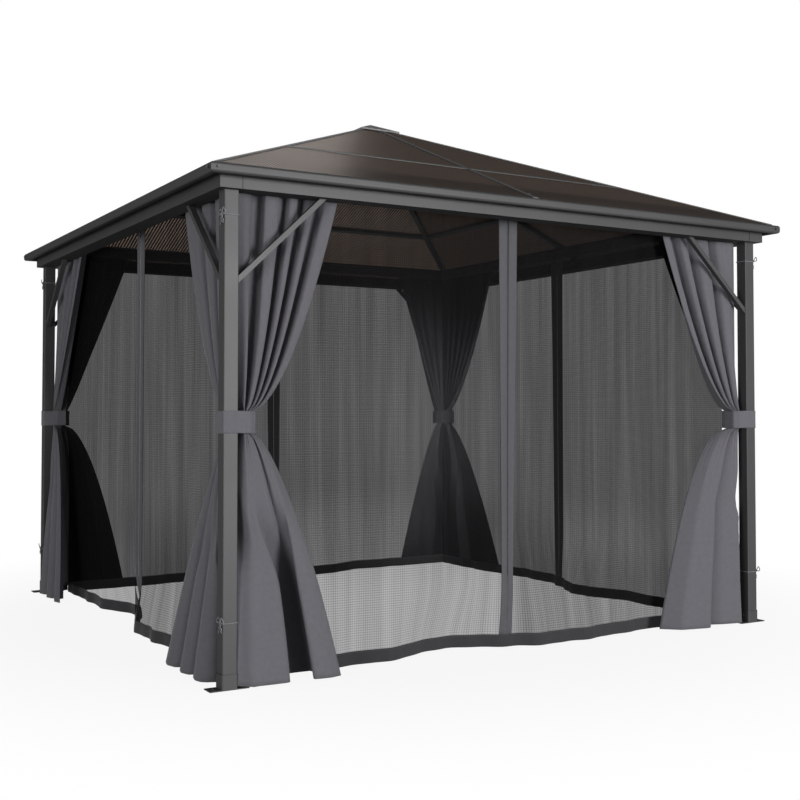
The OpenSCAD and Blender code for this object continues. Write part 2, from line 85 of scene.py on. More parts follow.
def roof_z(r):
    """Height of the roof plane at a level distance r from the middle."""
    return EAVE_Z + (EAVE_R - r) * math.tan(PITCH)


def ease(x):
    """A soft step from 0 to 1."""
    t = np.clip(x, 0, 1)
    return t * t * (3 - 2 * t)


def mix(a, b, t):
    """A value that goes from a to b while t goes from 0 to 1."""
    return a + (b - a) * t


def turned(points, degrees):
    """Points of the front side, turned about the middle to another side."""
    a = math.radians(degrees)
    turn = np.array([[math.cos(a), -math.sin(a), 0], [math.sin(a), math.cos(a), 0], [0, 0, 1]])
    return points @ turn.T


# Materials

# Drawn sizes of the patterns: orange peel, lines of the die, flutes, weave, net and braid
PEEL, DIE_LINE, FLUTE, WEAVE, NET_PITCH, BRAID = 0.004, 0.003, 0.018, 0.004, 0.010, 0.004
# Waves in a metre of a wave texture at a scale of 1
WAVES = 3.2
# Share of the net's pitch that its lines take up, and share of its area that is closed:
# between the lines and on them
NET_LINE, NET_SHUT = 0.3, (0.645, 0.785)


def linear(code, alpha=1.0):
    """An sRGB hex colour as linear values."""
    parts = [int(code[i:i + 2], 16) / 255 for i in (1, 3, 5)]
    return [c / 12.92 if c <= 0.04045 else ((c + 0.055) / 1.055) ** 2.4 for c in parts] + [alpha]


def add(tree, kind, inputs=None, **settings):
    """Adds one node to a tree, with its settings, its fixed inputs and its links."""
    node = tree.nodes.new(kind)
    for name, value in settings.items():
        setattr(node, name, value)
    for socket, value in (inputs or {}).items():
        if isinstance(value, bpy.types.NodeSocket):
            tree.links.new(value, node.inputs[socket])
        else:
            node.inputs[socket].default_value = value
    return node


def start(name):
    """A new material with an empty tree and its output."""
    material = bpy.data.materials.new(name)
    material.use_nodes = True
    material.node_tree.nodes.clear()
    return material, material.node_tree, add(material.node_tree, "ShaderNodeOutputMaterial")


def powder_coated_aluminium(name, mirrored):
    """Charcoal polyester powder, sprayed and baked on aluminium: an even, half-matt grey
    with a faint orange peel, whose rough skin mirrors little, also when seen along it. The
    peel is 1 mm in life and drawn at 4 mm to show."""
    material, tree, out = start(name)
    place = add(tree, "ShaderNodeTexCoord").outputs["Object"]
    peel = add(tree, "ShaderNodeTexNoise", {"Vector": place, "Scale": 1 / PEEL, "Detail": 2.0})
    cloud = add(tree, "ShaderNodeTexNoise", {"Vector": place, "Scale": 1 / 0.35, "Detail": 3.0})
    colour = add(tree, "ShaderNodeMix", {
        "Factor": cloud.outputs["Fac"], 6: linear("#2f2f30"), 7: linear("#363637"),
    }, data_type="RGBA")
    gloss = add(tree, "ShaderNodeMapRange", {
        "Value": cloud.outputs["Fac"], "To Min": 0.42, "To Max": 0.56,
    })
    bump = add(tree, "ShaderNodeBump", {
        "Height": peel.outputs["Fac"], "Strength": 0.12, "Distance": 0.0006,
    })
    matt = add(tree, "ShaderNodeBsdfDiffuse", {
        "Color": colour.outputs[2], "Normal": bump.outputs["Normal"],
    })
    skin = add(tree, "ShaderNodeBsdfGlossy", {
        "Color": linear("#ffffff"), "Roughness": gloss.outputs["Result"],
        "Normal": bump.outputs["Normal"],
    })
    shader = add(tree, "ShaderNodeMixShader", {0: mirrored, 1: matt.outputs[0], 2: skin.outputs[0]})
    tree.links.new(shader.outputs[0], out.inputs[0])
    return material


def anodised_black():
    """Extruded aluminium, anodised black: dark and satin, with faint lines of the die."""
    material, tree, out = start("anodised_black_aluminium")
    place = add(tree, "ShaderNodeTexCoord").outputs["Object"]
    lines = add(tree, "ShaderNodeTexNoise", {"Vector": place, "Scale": 1 / DIE_LINE, "Detail": 1.0})
    bump = add(tree, "ShaderNodeBump", {
        "Height": lines.outputs["Fac"], "Strength": 0.1, "Distance": 0.0004,
    })
    shader = add(tree, "ShaderNodeBsdfPrincipled", {
        "Base Color": linear("#1b1b1c"), "Roughness": 0.4, "Metallic": 0.6,
        "Normal": bump.outputs["Normal"],
    })
    tree.links.new(shader.outputs[0], out.inputs[0])
    return material


def twin_wall_sheet(along):
    """Bronze polycarbonate, extruded with hollow flutes that run down the slope: the ribs
    between the flutes look darker, light glows through it, its ribbed skin mirrors only a
    little, and where the eye meets it steeply the flutes are clear. They are 6 mm wide in
    life and drawn at 18 mm to show."""
    material, tree, out = start("bronze_twin_wall_polycarbonate_" + along.lower())
    place = add(tree, "ShaderNodeTexCoord").outputs["Object"]
    across = add(tree, "ShaderNodeSeparateXYZ", {0: place}).outputs[along]
    turns = add(tree, "ShaderNodeMath", {0: across, 1: 1 / FLUTE}, operation="MULTIPLY")
    share = add(tree, "ShaderNodeMath", {0: turns.outputs[0]}, operation="FRACT")
    wave = add(tree, "ShaderNodeMath", {0: share.outputs[0], 1: 0.5}, operation="SUBTRACT")
    bow = add(tree, "ShaderNodeMath", {0: wave.outputs[0]}, operation="ABSOLUTE")
    rib = add(tree, "ShaderNodeMapRange", {
        "Value": bow.outputs[0], "From Min": 0.22, "From Max": 0.32,
    }, interpolation_type="SMOOTHSTEP")
    cloud = add(tree, "ShaderNodeTexNoise", {"Vector": place, "Scale": 1 / 0.5, "Detail": 2.0})
    colour = add(tree, "ShaderNodeMix", {
        "Factor": cloud.outputs["Fac"], 6: linear("#24201d"), 7: linear("#2d2824"),
    }, data_type="RGBA")
    bump = add(tree, "ShaderNodeBump", {
        "Height": rib.outputs["Result"], "Strength": 0.3, "Distance": 0.001,
    })
    matt = add(tree, "ShaderNodeBsdfDiffuse", {
        "Color": colour.outputs[2], "Normal": bump.outputs["Normal"],
    })
    mirror = add(tree, "ShaderNodeBsdfGlossy", {
        "Color": linear("#f2e8e2"), "Roughness": 0.34, "Normal": bump.outputs["Normal"],
    })
    shine = add(tree, "ShaderNodeMapRange", {
        "Value": rib.outputs["Result"], "To Min": 0.125, "To Max": 0.055,
    })
    skin = add(tree, "ShaderNodeMixShader", {
        0: shine.outputs[0], 1: matt.outputs[0], 2: mirror.outputs[0],
    })
    glow = add(tree, "ShaderNodeBsdfTranslucent", {"Color": linear("#a89689")})
    dim = add(tree, "ShaderNodeMapRange", {
        "Value": rib.outputs["Result"], "To Min": 0.42, "To Max": 0.18,
    })
    body = add(tree, "ShaderNodeMixShader", {
        0: dim.outputs[0], 1: skin.outputs[0], 2: glow.outputs[0],
    })
    steep = add(tree, "ShaderNodeLayerWeight", {"Blend": 0.5})
    clear = add(tree, "ShaderNodeMapRange", {
        "Value": steep.outputs["Facing"], "From Min": 0.68, "From Max": 0.42,
        "To Min": 0.0, "To Max": 0.85,
    })
    gap = add(tree, "ShaderNodeMath", {0: 1.0, 1: rib.outputs["Result"]}, operation="SUBTRACT")
    part = add(tree, "ShaderNodeMath", {0: clear.outputs[0], 1: gap.outputs[0]}, operation="MULTIPLY")
    open_flute = add(tree, "ShaderNodeBsdfTransparent", {"Color": linear("#e9dcd4")})
    whole = add(tree, "ShaderNodeMixShader", {
        0: part.outputs[0], 1: body.outputs[0], 2: open_flute.outputs[0],
    })
    tree.links.new(whole.outputs[0], out.inputs[0])
    return material


def weave(tree, pitch, groove):
    """The piece's own UV map, in metres, the height of a plain weave over it and its bump."""
    flat = add(tree, "ShaderNodeUVMap", uv_map="flat").outputs[0]
    cut = add(tree, "ShaderNodeSeparateXYZ", {0: flat})
    threads = []
    for axis in "XY":
        turns = add(tree, "ShaderNodeMath", {
            0: cut.outputs[axis], 1: 2 * math.pi / pitch,
        }, operation="MULTIPLY")
        wave = add(tree, "ShaderNodeMath", {0: turns.outputs[0]}, operation="SINE")
        threads.append(wave.outputs[0])
    height = add(tree, "ShaderNodeMath", {0: threads[0], 1: threads[1]}, operation="MULTIPLY")
    bump = add(tree, "ShaderNodeBump", {
        "Height": height.outputs[0], "Strength": 0.35, "Distance": groove,
    })
    return flat, height.outputs[0], bump.outputs["Normal"]


def woven_polyester(name, dark, light, pitch):
    """Polyester cloth in a plain weave, dyed grey: matt, with a soft sheen at its folds.
    The threads are 0.5 mm in life and drawn coarser to show."""
    material, tree, out = start(name)
    flat, height, normal = weave(tree, pitch, pitch / 4)
    slub = add(tree, "ShaderNodeTexNoise", {"Vector": flat, "Scale": 1 / 0.02, "Detail": 4.0})
    tone = add(tree, "ShaderNodeMath", {
        0: height, 1: 0.25, 2: slub.outputs["Fac"],
    }, operation="MULTIPLY_ADD")
    colour = add(tree, "ShaderNodeMix", {
        "Factor": tone.outputs[0], 6: linear(dark), 7: linear(light),
    }, data_type="RGBA")
    shader = add(tree, "ShaderNodeBsdfPrincipled", {
        "Base Color": colour.outputs[2], "Roughness": 0.85, "Normal": normal,
        "Specular IOR Level": 0.25, "Sheen Weight": 0.15, "Sheen Roughness": 0.4,
    })
    tree.links.new(shader.outputs[0], out.inputs[0])
    return material


def knitted_net():
    """Knitted polyester insect net: so fine that it dims what lies behind it, with soft
    upright streaks where it bunches. Near the floor it is made more open on one half and closer
    on the other: painted light and shade, so that the floor seen through it looks lighter behind
    the open half and shaded behind the closer one. Its holes are 1.5 mm in life; a faint grid of
    10 mm stands for them to show."""
    material, tree, out = start("knitted_polyester_net")
    flat = add(tree, "ShaderNodeUVMap", uv_map="flat").outputs[0]
    cut = add(tree, "ShaderNodeSeparateXYZ", {0: flat})
    lines = []
    for axis in "XY":
        turns = add(tree, "ShaderNodeMath", {0: cut.outputs[axis], 1: 1 / NET_PITCH}, operation="MULTIPLY")
        share = add(tree, "ShaderNodeMath", {0: turns.outputs[0]}, operation="FRACT")
        line = add(tree, "ShaderNodeMath", {0: share.outputs[0], 1: NET_LINE}, operation="LESS_THAN")
        lines.append(line.outputs[0])
    mask = add(tree, "ShaderNodeMath", {0: lines[0], 1: lines[1]}, operation="MAXIMUM")
    upright = add(tree, "ShaderNodeMapping", {"Vector": flat, "Scale": (1 / 0.05, 1 / 1.4, 1)})
    streak = add(tree, "ShaderNodeTexNoise", {"Vector": upright.outputs[0], "Scale": 1.0, "Detail": 2.0})
    grid = add(tree, "ShaderNodeMapRange", {
        "Value": mask.outputs[0], "To Min": NET_SHUT[0], "To Max": NET_SHUT[1],
    })
    bunch = add(tree, "ShaderNodeMapRange", {
        "Value": streak.outputs["Fac"], "From Min": 0.3, "From Max": 0.7,
        "To Min": -0.05, "To Max": 0.05,
    })
    # Painted light and shade: low down, the net is made more open on one half and closer on the other, so
    # the floor seen through it looks lighter on one side and shaded on the other
    drawn = add(tree, "ShaderNodeMapRange", {
        "Value": cut.outputs["Y"], "From Min": 0.25, "From Max": 0.6,
        "To Min": -0.10, "To Max": 0.0,
    }, interpolation_type="SMOOTHSTEP")
    half = add(tree, "ShaderNodeMapRange", {
        "Value": cut.outputs["X"], "From Min": -0.06, "From Max": 0.06,
        "To Min": 1.0, "To Max": -0.5,
    })
    near = add(tree, "ShaderNodeMath", {
        0: drawn.outputs[0], 1: half.outputs[0], 2: grid.outputs[0],
    }, operation="MULTIPLY_ADD")
    shut = add(tree, "ShaderNodeMath", {0: near.outputs[0], 1: bunch.outputs[0]}, operation="ADD")
    colour = add(tree, "ShaderNodeMix", {
        "Factor": streak.outputs["Fac"], 6: linear("#0b0b0c"), 7: linear("#121213"),
    }, data_type="RGBA")
    clear = add(tree, "ShaderNodeBsdfTransparent", {"Color": linear("#ffffff")})
    threads = add(tree, "ShaderNodeBsdfPrincipled", {
        "Base Color": colour.outputs[2], "Roughness": 0.9, "Specular IOR Level": 0.05,
    })
    whole = add(tree, "ShaderNodeMixShader", {
        0: shut.outputs[0], 1: clear.outputs[0], 2: threads.outputs[0],
    })
    tree.links.new(whole.outputs[0], out.inputs[0])
    return material


def braided_cord():
    """Braided polyester cord: grey and matt, with the slanted ridges of the braid.
    The braid repeats every 2 mm in life and is drawn at 4 mm to show."""
    material, tree, out = start("braided_polyester_cord")
    place = add(tree, "ShaderNodeTexCoord").outputs["Object"]
    turned_place = add(tree, "ShaderNodeMapping", {"Vector": place, "Rotation": (0.7, 0.5, 0.6)})
    ridges = add(tree, "ShaderNodeTexWave", {
        "Vector": turned_place.outputs[0], "Scale": 1 / (BRAID * WAVES), "Distortion": 1.0,
    })
    colour = add(tree, "ShaderNodeMix", {
        "Factor": ridges.outputs["Fac"], 6: linear("#58585b"), 7: linear("#747477"),
    }, data_type="RGBA")
    bump = add(tree, "ShaderNodeBump", {
        "Height": ridges.outputs["Fac"], "Strength": 0.5, "Distance": 0.0008,
    })
    shader = add(tree, "ShaderNodeBsdfPrincipled", {
        "Base Color": colour.outputs[2], "Roughness": 0.8, "Normal": bump.outputs["Normal"],
    })
    tree.links.new(shader.outputs[0], out.inputs[0])
    return material


def plain_finish(name, dark, light, roughness, metallic, grain):
    """A small piece, moulded, blackened or twisted: one tone, slightly uneven at its grain size."""
    material, tree, out = start(name)
    place = add(tree, "ShaderNodeTexCoord").outputs["Object"]
    speckle = add(tree, "ShaderNodeTexNoise", {"Vector": place, "Scale": 1 / grain, "Detail": 2.0})
    colour = add(tree, "ShaderNodeMix", {
        "Factor": speckle.outputs["Fac"], 6: linear(dark), 7: linear(light),
    }, data_type="RGBA")
    bump = add(tree, "ShaderNodeBump", {
        "Height": speckle.outputs["Fac"], "Strength": 0.15, "Distance": 0.0003,
    })
    shader = add(tree, "ShaderNodeBsdfPrincipled", {
        "Base Color": colour.outputs[2], "Roughness": roughness, "Metallic": metallic,
        "Normal": bump.outputs["Normal"],
    })
    tree.links.new(shader.outputs[0], out.inputs[0])
    return material


coat = powder_coated_aluminium("powder_coated_aluminium", 0.024)
roof_coat = powder_coated_aluminium("powder_coated_aluminium_on_roof", 0.085)
rail_black = anodised_black()
sheet_x, sheet_y = twin_wall_sheet("X"), twin_wall_sheet("Y")
net_cloth = knitted_net()
curtain_cloth = woven_polyester("woven_polyester_curtain", "#4e4d52", "#59585d", WEAVE)
zip_cloth = woven_polyester("woven_polyester_zip_tape", "#434347", "#4c4c50", WEAVE)
hem_cloth = woven_polyester("woven_polyester_hem_tape", "#262628", "#2e2e30", WEAVE)
cord_braid = braided_cord()
screw_steel = plain_finish("blackened_steel_screw", "#2c2c2d", "#3a3a3b", 0.5, 0.4, 0.002)
runner_nylon = plain_finish("moulded_nylon_runner", "#202022", "#2c2c2e", 0.45, 0.0, 0.003)
zip_nylon = plain_finish("moulded_nylon_zip", "#242426", "#323234", 0.4, 0.0, 0.003)
seam_thread = plain_finish("twisted_polyester_thread", "#3a3a3e", "#48484c", 0.8, 0.0, 0.002)

for name, node in nodes.items():
    if name.startswith("roof_sheets"):
        finish = sheet_x if name.endswith(("front", "back")) else sheet_y
    elif name == "rails":
        finish = rail_black
    elif name.startswith(("hip_rafter", "mid_rafter", "purlins", "roof_cap")):
        finish = roof_coat
    else:
        finish = coat
    node.data.materials.clear()
    node.data.materials.append(finish)


# Making pieces


def piece(name, points, faces, material, flat=None):
    """A mesh object at the origin that rides with the frame. flat gives a place on the
    cut cloth for each point, in metres, and becomes its UV map."""
    mesh = bpy.data.meshes.new(name)
    mesh.from_pydata([tuple(p) for p in points], [], [tuple(int(i) for i in f) for f in faces])
    mesh.materials.append(material)
    if flat is not None:
        layer = mesh.uv_layers.new(name="flat")
        where = np.zeros(len(mesh.loops), np.int32)
        mesh.loops.foreach_get("vertex_index", where)
        layer.data.foreach_set("uv", np.asarray(flat, np.float32)[where].ravel())
    mesh.polygons.foreach_set("use_smooth", [True] * len(mesh.polygons))
    mesh.update()
    made = bpy.data.objects.new(name, mesh)
    bpy.context.scene.collection.objects.link(made)
    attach(made, "root")
    return made


def grid_faces(rows, columns, flip=False):
    """Quads over a grid of points that is stored row by row."""
    faces = []
    for r in range(rows - 1):
        for c in range(columns - 1):
            a = r * columns + c
            quad = (a, a + 1, a + columns + 1, a + columns)
            faces.append(quad[::-1] if flip else quad)
    return faces


def thicken(made, thickness):
    """Gives a sheet its thickness, the same on both sides."""
    shell = made.modifiers.new("thickness", "SOLIDIFY")
    shell.thickness = thickness
    shell.offset = 0
    return made


# Nets: each hangs from its rail, folds softly and wanders on the floor

# Depth and number of a net's folds, its drift on the floor and the height where that begins
NET_FOLD, NET_WAVES, NET_DRIFT, NET_DRIFT_H = 0.006, 2.5, 0.090, 0.34
# How far the curtain ties draw a net's ends out, and over what height
NET_PULL, NET_PULL_H = 0.018, 0.13
# Where the hem ends and the heading begins, and the thickness of all bands
HEM_TOP, HEAD_LOW, BAND_THICK = NET_LOW + 0.055, NET_TOP - 0.054, 0.003
# How far a zip tape reaches from the middle, at the foot and at the top, and half the slit
# between the two tapes
ZIP_FOOT, ZIP_TOP, ZIP_SLIT = 0.030, 0.052, 0.003
# The zip's lean over its height, the height below which it swings along its side, and how far
# its foot swings there
ZIP_LEAN, ZIP_SWING_H = -0.012, 0.36
ZIP_SWING = {"front": -0.015, "right": 0.02, "back": 0.015, "left": 0.13}
# Columns of a net, the height up to which its rows lie close, and rows of a band
NET_COLUMNS, NET_CLOSE, BAND_ROWS = 181, 0.4, 7


def net_wander(along):
    """Wander of a hem along its side, as in the CAD model."""
    swing = 0.75 * np.sin(np.radians(200 * along + 25))
    flick = 0.8 * np.cos(np.radians(545 * along + 104)) * ease(0.5 - along)
    return (0.25 - swing + flick) * (1 - ease((np.abs(along) - 0.3) / 0.38))


def net_offset(x, z):
    """Sideways place of a net, as in the CAD model, with finer folds over it."""
    along = np.clip(x / NET_HALF, -1, 1)
    low = 1 - ease(z / NET_DRIFT_H)
    hold = 1 - np.abs(along) ** 4
    fold = NET_FOLD * np.sin(math.pi * NET_WAVES * (along + 1))
    fine = 0.003 * np.sin(23 * along + 5 * np.sin(4 * along)) + 0.002 * np.sin(51 * along + 2.0 * z)
    creep = 0.006 * low * np.sin(31 * along + 1.0) + 0.004 * low * np.sin(57 * along)
    return hold * (fold + fine + creep) + NET_DRIFT * low * net_wander(along)


def net_place(x, z):
    """Point of the front net: by the posts, the curtain ties draw its ends out."""
    near_post = ease((np.abs(x) / NET_R - 0.8) / 0.2)
    pull = NET_PULL * np.exp(-((z - TIE_MIDDLE) / NET_PULL_H) ** 2) * near_post
    return x + np.sign(x) * pull, -NET_R + net_offset(x, z) - pull, z


def net_patch(x, z, degrees):
    """Points of a patch of net over columns x and rows z, and its flat places."""
    xs, zs = np.meshgrid(x, z)
    points = np.stack(net_place(xs, zs), axis=-1).reshape(-1, 3)
    return turned(points, degrees), np.stack([xs, zs], axis=-1).reshape(-1, 2)


def net_band(across, z, side, part, cloth):
    """A cloth band that covers a patch of net on both sides: across holds its columns, row by
    row, at the heights z."""
    up = np.repeat(z[:, None], across.shape[1], axis=1)
    points = np.stack([across, -NET_R + net_offset(across, up), up], axis=-1).reshape(-1, 3)
    flat = np.stack([across, up], axis=-1).reshape(-1, 2)
    faces = grid_faces(len(z), across.shape[1])
    made = piece(f"net_{part}_{side}", turned(points, SIDES[side]), faces, cloth, flat)
    return thicken(made, BAND_THICK)


def zip_line(z, side):
    """Place of the zip along its side: it swings near the floor, as the net drags there."""
    return mix(ZIP_LEAN, 0.0, z / NET_TOP) + ZIP_SWING[side] * (1 - ease(z / ZIP_SWING_H)) ** 1.5


def hang_net(side):
    """The net of one side, with its hem, its heading and the two tapes of its zip."""
    x = np.linspace(-NET_R, NET_R, NET_COLUMNS)
    z = np.concatenate([np.linspace(NET_LOW, NET_CLOSE, 31), np.linspace(NET_CLOSE, NET_TOP, 41)[1:]])
    points, flat = net_patch(x, z, SIDES[side])
    net = piece(f"net_mesh_{side}", points, grid_faces(len(z), len(x)), net_cloth, flat)
    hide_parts(f"net_{side}")
    columns = np.tile(x, (BAND_ROWS, 1))
    bands = [
        net_band(columns, np.linspace(NET_LOW, HEM_TOP, BAND_ROWS), side, "hem", hem_cloth),
        net_band(columns, np.linspace(HEAD_LOW, NET_TOP, BAND_ROWS), side, "heading", hem_cloth),
    ]
    heights = np.linspace(HEM_TOP, HEAD_LOW, 80)
    width = mix(ZIP_FOOT, ZIP_TOP, heights / NET_TOP)[:, None]
    for name, way in (("zip_tape_a", -1), ("zip_tape_b", 1)):
        off = way * mix(ZIP_SLIT, width, np.linspace(0, 1, BAND_ROWS))[:, ::way]
        bands.append(net_band(zip_line(heights, side)[:, None] + off, heights, side, name, zip_cloth))


for side in SIDES:
    hang_net(side)


# Curtains: each follows both rails of a corner, is tied to the post and spreads below.
# t runs from -1, its front end, over 0 behind the post, to 1, its side end.

# Width of a curtain's cloth, with which it closes half of two sides when drawn out, its
# thickness, and the columns of its mesh
CURTAIN_FLAT, CLOTH, CURTAIN_COLUMNS = 2.64, 0.0016, 321
# Share of the reach over which a curtain turns the corner, and over which it lies behind the post
CURTAIN_TURN, CORNER_RUN = 0.06, 0.10
# Depth of the folds and width of their rounding, at the rail, under the tie and at the hem, and
# the reach that their lines are worked out for
FOLD_SIZES, FOLD_REACH = ((0.027, 0.020), (0.050, 0.030), (0.070, 0.024)), 0.45
# Height from which the folds under the tie change into those at the hem, and over how much of it
CHANGE_Z, CHANGE_H = 0.78, 0.42
# Height over which creases run out from the tie, their share of the folds' depth, and the
# share of the reach by which the folds sway
CREASE_H, CREASE, SWAY = 0.14, 0.1, 0.016
# Reach of the gathered cloth in the tie, on the front or back of the post and on its side
TIE_REACH = (0.042, 0.004)
# Room for the folds, at the tie, at the rail and at the hem: outwards on the front or back and
# on the side, inwards, outwards behind the post and inwards behind it
ROOM_OUT = ((0.078, 0.025, 0.134), (0.045, 0.025, 0.134))
ROOM_IN, ROOM_POST, ROOM_CORNER = (0.002, 0.025, 0.010), (0.038, 0.054, 0.055), (0.004, 0.030, 0.030)


def folds(spans, low=-0.95):
    """Line of the cloth over folds, each from a share of the reach to another: it comes out of
    a valley, is round on the fold, and goes back. Depth is 1 outside and -1 inside."""
    line = []
    for begin, end in spans:
        edge = min(0.035, 0.2 * (end - begin))
        top = (begin + end) / 2
        line += [(begin, low), (begin + edge, 0.8), (top, 1.0), (end - edge, 0.8), (end, low)]
    return line[1:-1]


def inside(line):
    """The same folds with their round sides inwards."""
    return [(share, -depth) for share, depth in line]


def pleats(width, count):
    """Line of the cloth where it is bunched behind the post."""
    return [(width * i / (2 * count), 0.15 if i % 2 == 0 else -0.95) for i in range(2 * count)]


# Folds on one side of a post, from the post to the free end
EVEN = folds([(0.00, 0.17), (0.20, 0.36), (0.39, 0.54), (0.57, 0.72), (0.75, 0.87), (0.90, 1.00)])
WIDE = folds([(0.00, 0.24), (0.30, 0.52), (0.60, 0.75), (0.83, 1.00)])
PARTED = folds([(0.00, 0.13), (0.22, 0.42), (0.46, 0.58), (0.63, 0.75), (0.80, 1.00)])
BROAD = folds([(0.14, 0.38), (0.42, 0.64), (0.67, 1.00)])
CONES = folds([(0.00, 0.32), (0.35, 0.66), (0.69, 1.00)], 0.0)
# A broad panel and a narrow one at the free end, shut under the tie and parted at the hem
PANELS = [
    (0.02, 1.40), (0.05, 1.15), (0.10, 0.98), (0.30, 1.00), (0.52, 0.85),
    (0.58, 0.30), (0.64, 0.70), (0.80, 0.85), (1.00, 0.30),
]
SLIT = [
    (0.02, 1.80), (0.05, 1.30), (0.10, 0.98), (0.24, 1.00), (0.40, 1.00), (0.44, 0.95),
    (0.435, -0.90), (0.60, -1.00), (0.83, -0.95), (0.84, 0.00), (0.80, 0.45),
    (0.715, 0.75), (0.70, 0.95), (0.75, 1.05), (0.88, 1.10), (1.00, 0.90),
]
# The free end's panel laps over the one beside the post
LAPPED = [
    (0.02, 0.80), (0.09, 0.75), (0.30, 0.45), (0.55, -0.20), (0.70, -0.60), (0.68, 0.00),
    (0.54, 0.60), (0.52, 0.90), (0.58, 1.00), (0.85, 0.60), (1.00, -0.40),
]
# Broad panels on the inside, with a pocket between them
POCKET = [(0.05, -0.90), (0.09, 0.90), (0.30, 0.95), (0.36, -0.80), (0.70, -0.95), (1.00, -0.50)]
TURNED = [(0.20, -0.95), (0.38, -0.85), (0.43, 0.30), (0.75, 0.50), (1.00, 0.70)]
# Cloth behind the post, on its front or back and on its side
BUNCH = ([(0.00, 0.95)], pleats(0.14, 16))
# For each corner, on its front or back and then on its side: folds at the rail, under the tie
# and at the hem, reach at the rail and the power of its curve down to the tie, reach at the
# floor and its power
HANGS = {
    "front_left": (
        (PARTED, PANELS, SLIT, 0.470, 0.62, 0.390, 0.62), (BROAD, CONES, CONES, 0.580, 0.58, 0.470, 0.75),
    ),
    "front_right": (
        (WIDE, LAPPED, LAPPED, 0.500, 0.58, 0.505, 0.48), (EVEN, CONES, CONES, 0.540, 0.80, 0.470, 0.60),
    ),
    "back_left": (
        (EVEN, CONES, CONES, 0.422, 0.90, 0.430, 0.57), (WIDE, CONES, CONES, 0.560, 0.90, 0.498, 0.55),
    ),
    "back_right": (
        (inside(WIDE), POCKET, POCKET, 0.400, 0.95, 0.340, 0.76),
        (inside(EVEN), TURNED, TURNED, 0.630, 0.68, 0.500, 0.60),
    ),
}


def rounded(line, width):
    """A row of points, even along their line, with its corners rounded over a width."""
    step = np.linalg.norm(line[1] - line[0])
    half = max(1, int(width / step / 2))
    kernel = np.hanning(2 * half + 3)[1:-1]
    kernel = kernel / kernel.sum()
    begin = 2 * line[0] - line[1:half + 1][::-1]
    end = 2 * line[-1] - line[-half - 1:-1][::-1]
    line = np.concatenate([begin, line, end])
    return np.stack([np.convolve(line[:, i], kernel, mode="valid") for i in (0, 1)], axis=-1)


def evenly(line, count):
    """A line of points, cut anew at even steps of its length."""
    gone = np.concatenate([[0], np.cumsum(np.linalg.norm(np.diff(line, axis=0), axis=1))])
    at = np.linspace(0, gone[-1], count)
    return np.stack([np.interp(at, gone, line[:, i]) for i in range(line.shape[1])], axis=-1)


def fold_line(front, side, count, deep, width):
    """Cloth along a row: t and depth, from -1 inside to 1 outside, at even steps of the
    cloth, for folds on both sides of the post."""
    line = np.concatenate([np.array(BUNCH[0] + front)[::-1] * (-1, 1), np.array(BUNCH[1] + side)])
    size = np.array([FOLD_REACH, deep])
    line = rounded(evenly(line * size, 2001), width)
    return (evenly(line, count) / size).T


def from_tie(z, at_tie, at_rail, at_hem):
    """A value at height z from its values at the tie, at the beams and at the floor."""
    above = mix(at_tie, at_rail, np.clip((z - TIE_TOP) / (POST_H - TIE_TOP), 0, 1))
    below = mix(at_tie, at_hem, np.clip((TIE_Z - z) / (TIE_Z - CURTAIN_CLEAR), 0, 1))
    return np.where(z > TIE_Z, above, below)


def reach(z, tie, top, sag, hem, spread):
    """How far a curtain reaches from the corner of the rails at height z."""
    up = np.clip((z - TIE_TOP) / (CURTAIN_TOP - TIE_TOP), 0, 1) ** sag
    down = np.clip((TIE_Z - z) / (TIE_Z - CURTAIN_CLEAR), 0, 1) ** spread
    return np.where(z > TIE_Z, mix(tie, top, up), mix(tie, hem, down))


def curtain_points(t, depth, z, front, side):
    """Points of the curtain of the front left corner, as the CAD model shapes it, with
    folds between its two faces."""
    root = np.sqrt(t * t + CURTAIN_TURN ** 2)
    run = np.stack([-front * (1 - t / root) / 2, side * (1 + t / root) / 2], axis=-1)
    outward = np.stack([-run[..., 1], run[..., 0]], axis=-1)
    outward /= np.linalg.norm(run, axis=-1, keepdims=True)
    inward = np.stack([ease(1 + t), ease(1 - t)], axis=-1)
    past_post = ease(np.abs(t) / CORNER_RUN)
    out = np.where(t < 0, from_tie(z, *ROOM_OUT[0]), from_tie(z, *ROOM_OUT[1]))
    out = mix(from_tie(z, *ROOM_POST), out, past_post)
    back = mix(from_tie(z, *ROOM_CORNER), from_tie(z, *ROOM_IN), past_post)
    path = np.stack([front * (root - t) / 2, side * (root + t) / 2], axis=-1)
    weight = (depth[..., None] + 1) / 2
    place = path + mix(inward * back[..., None], outward * out[..., None], weight)
    return np.stack([place[..., 0] - CURTAIN_R, place[..., 1] - CURTAIN_R, z], axis=-1)


def curtain_grid(corner, columns, rows):
    """Points of a curtain over some of its columns and over rows of heights."""
    front, side = HANGS[corner]
    z = np.repeat(rows[:, None], len(columns), axis=1)
    at_rail, under_tie, at_hem = (
        fold_line(front[i], side[i], CURTAIN_COLUMNS, deep, width)[:, columns]
        for i, (deep, width) in enumerate(FOLD_SIZES)
    )
    up, down = ease((z - TIE_Z) / TIE_H), ease((CHANGE_Z - z) / CHANGE_H)
    t, depth = (mix(mix(b, c, down), a, up) for a, b, c in zip(at_rail, under_tie, at_hem))
    # Small creases run out from the tie, and the folds sway a little on their way
    near = np.exp(-np.abs(z - TIE_MIDDLE) / CREASE_H)
    depth = depth * (1 - 0.15 * near) + CREASE * near * np.sin(61 * t + 9 * np.sin(7 * t))
    sway = SWAY * (1 - near) * (1 - t * t) * np.sin(5.1 * z + 7 * t)
    t = t + sway * ease(np.abs(t) / CORNER_RUN)
    front_reach = reach(z, TIE_REACH[0], *front[3:])
    side_reach = reach(z, TIE_REACH[1], *side[3:])
    return curtain_points(t, depth, z, front_reach, side_reach) * (*CORNERS[corner], 1)


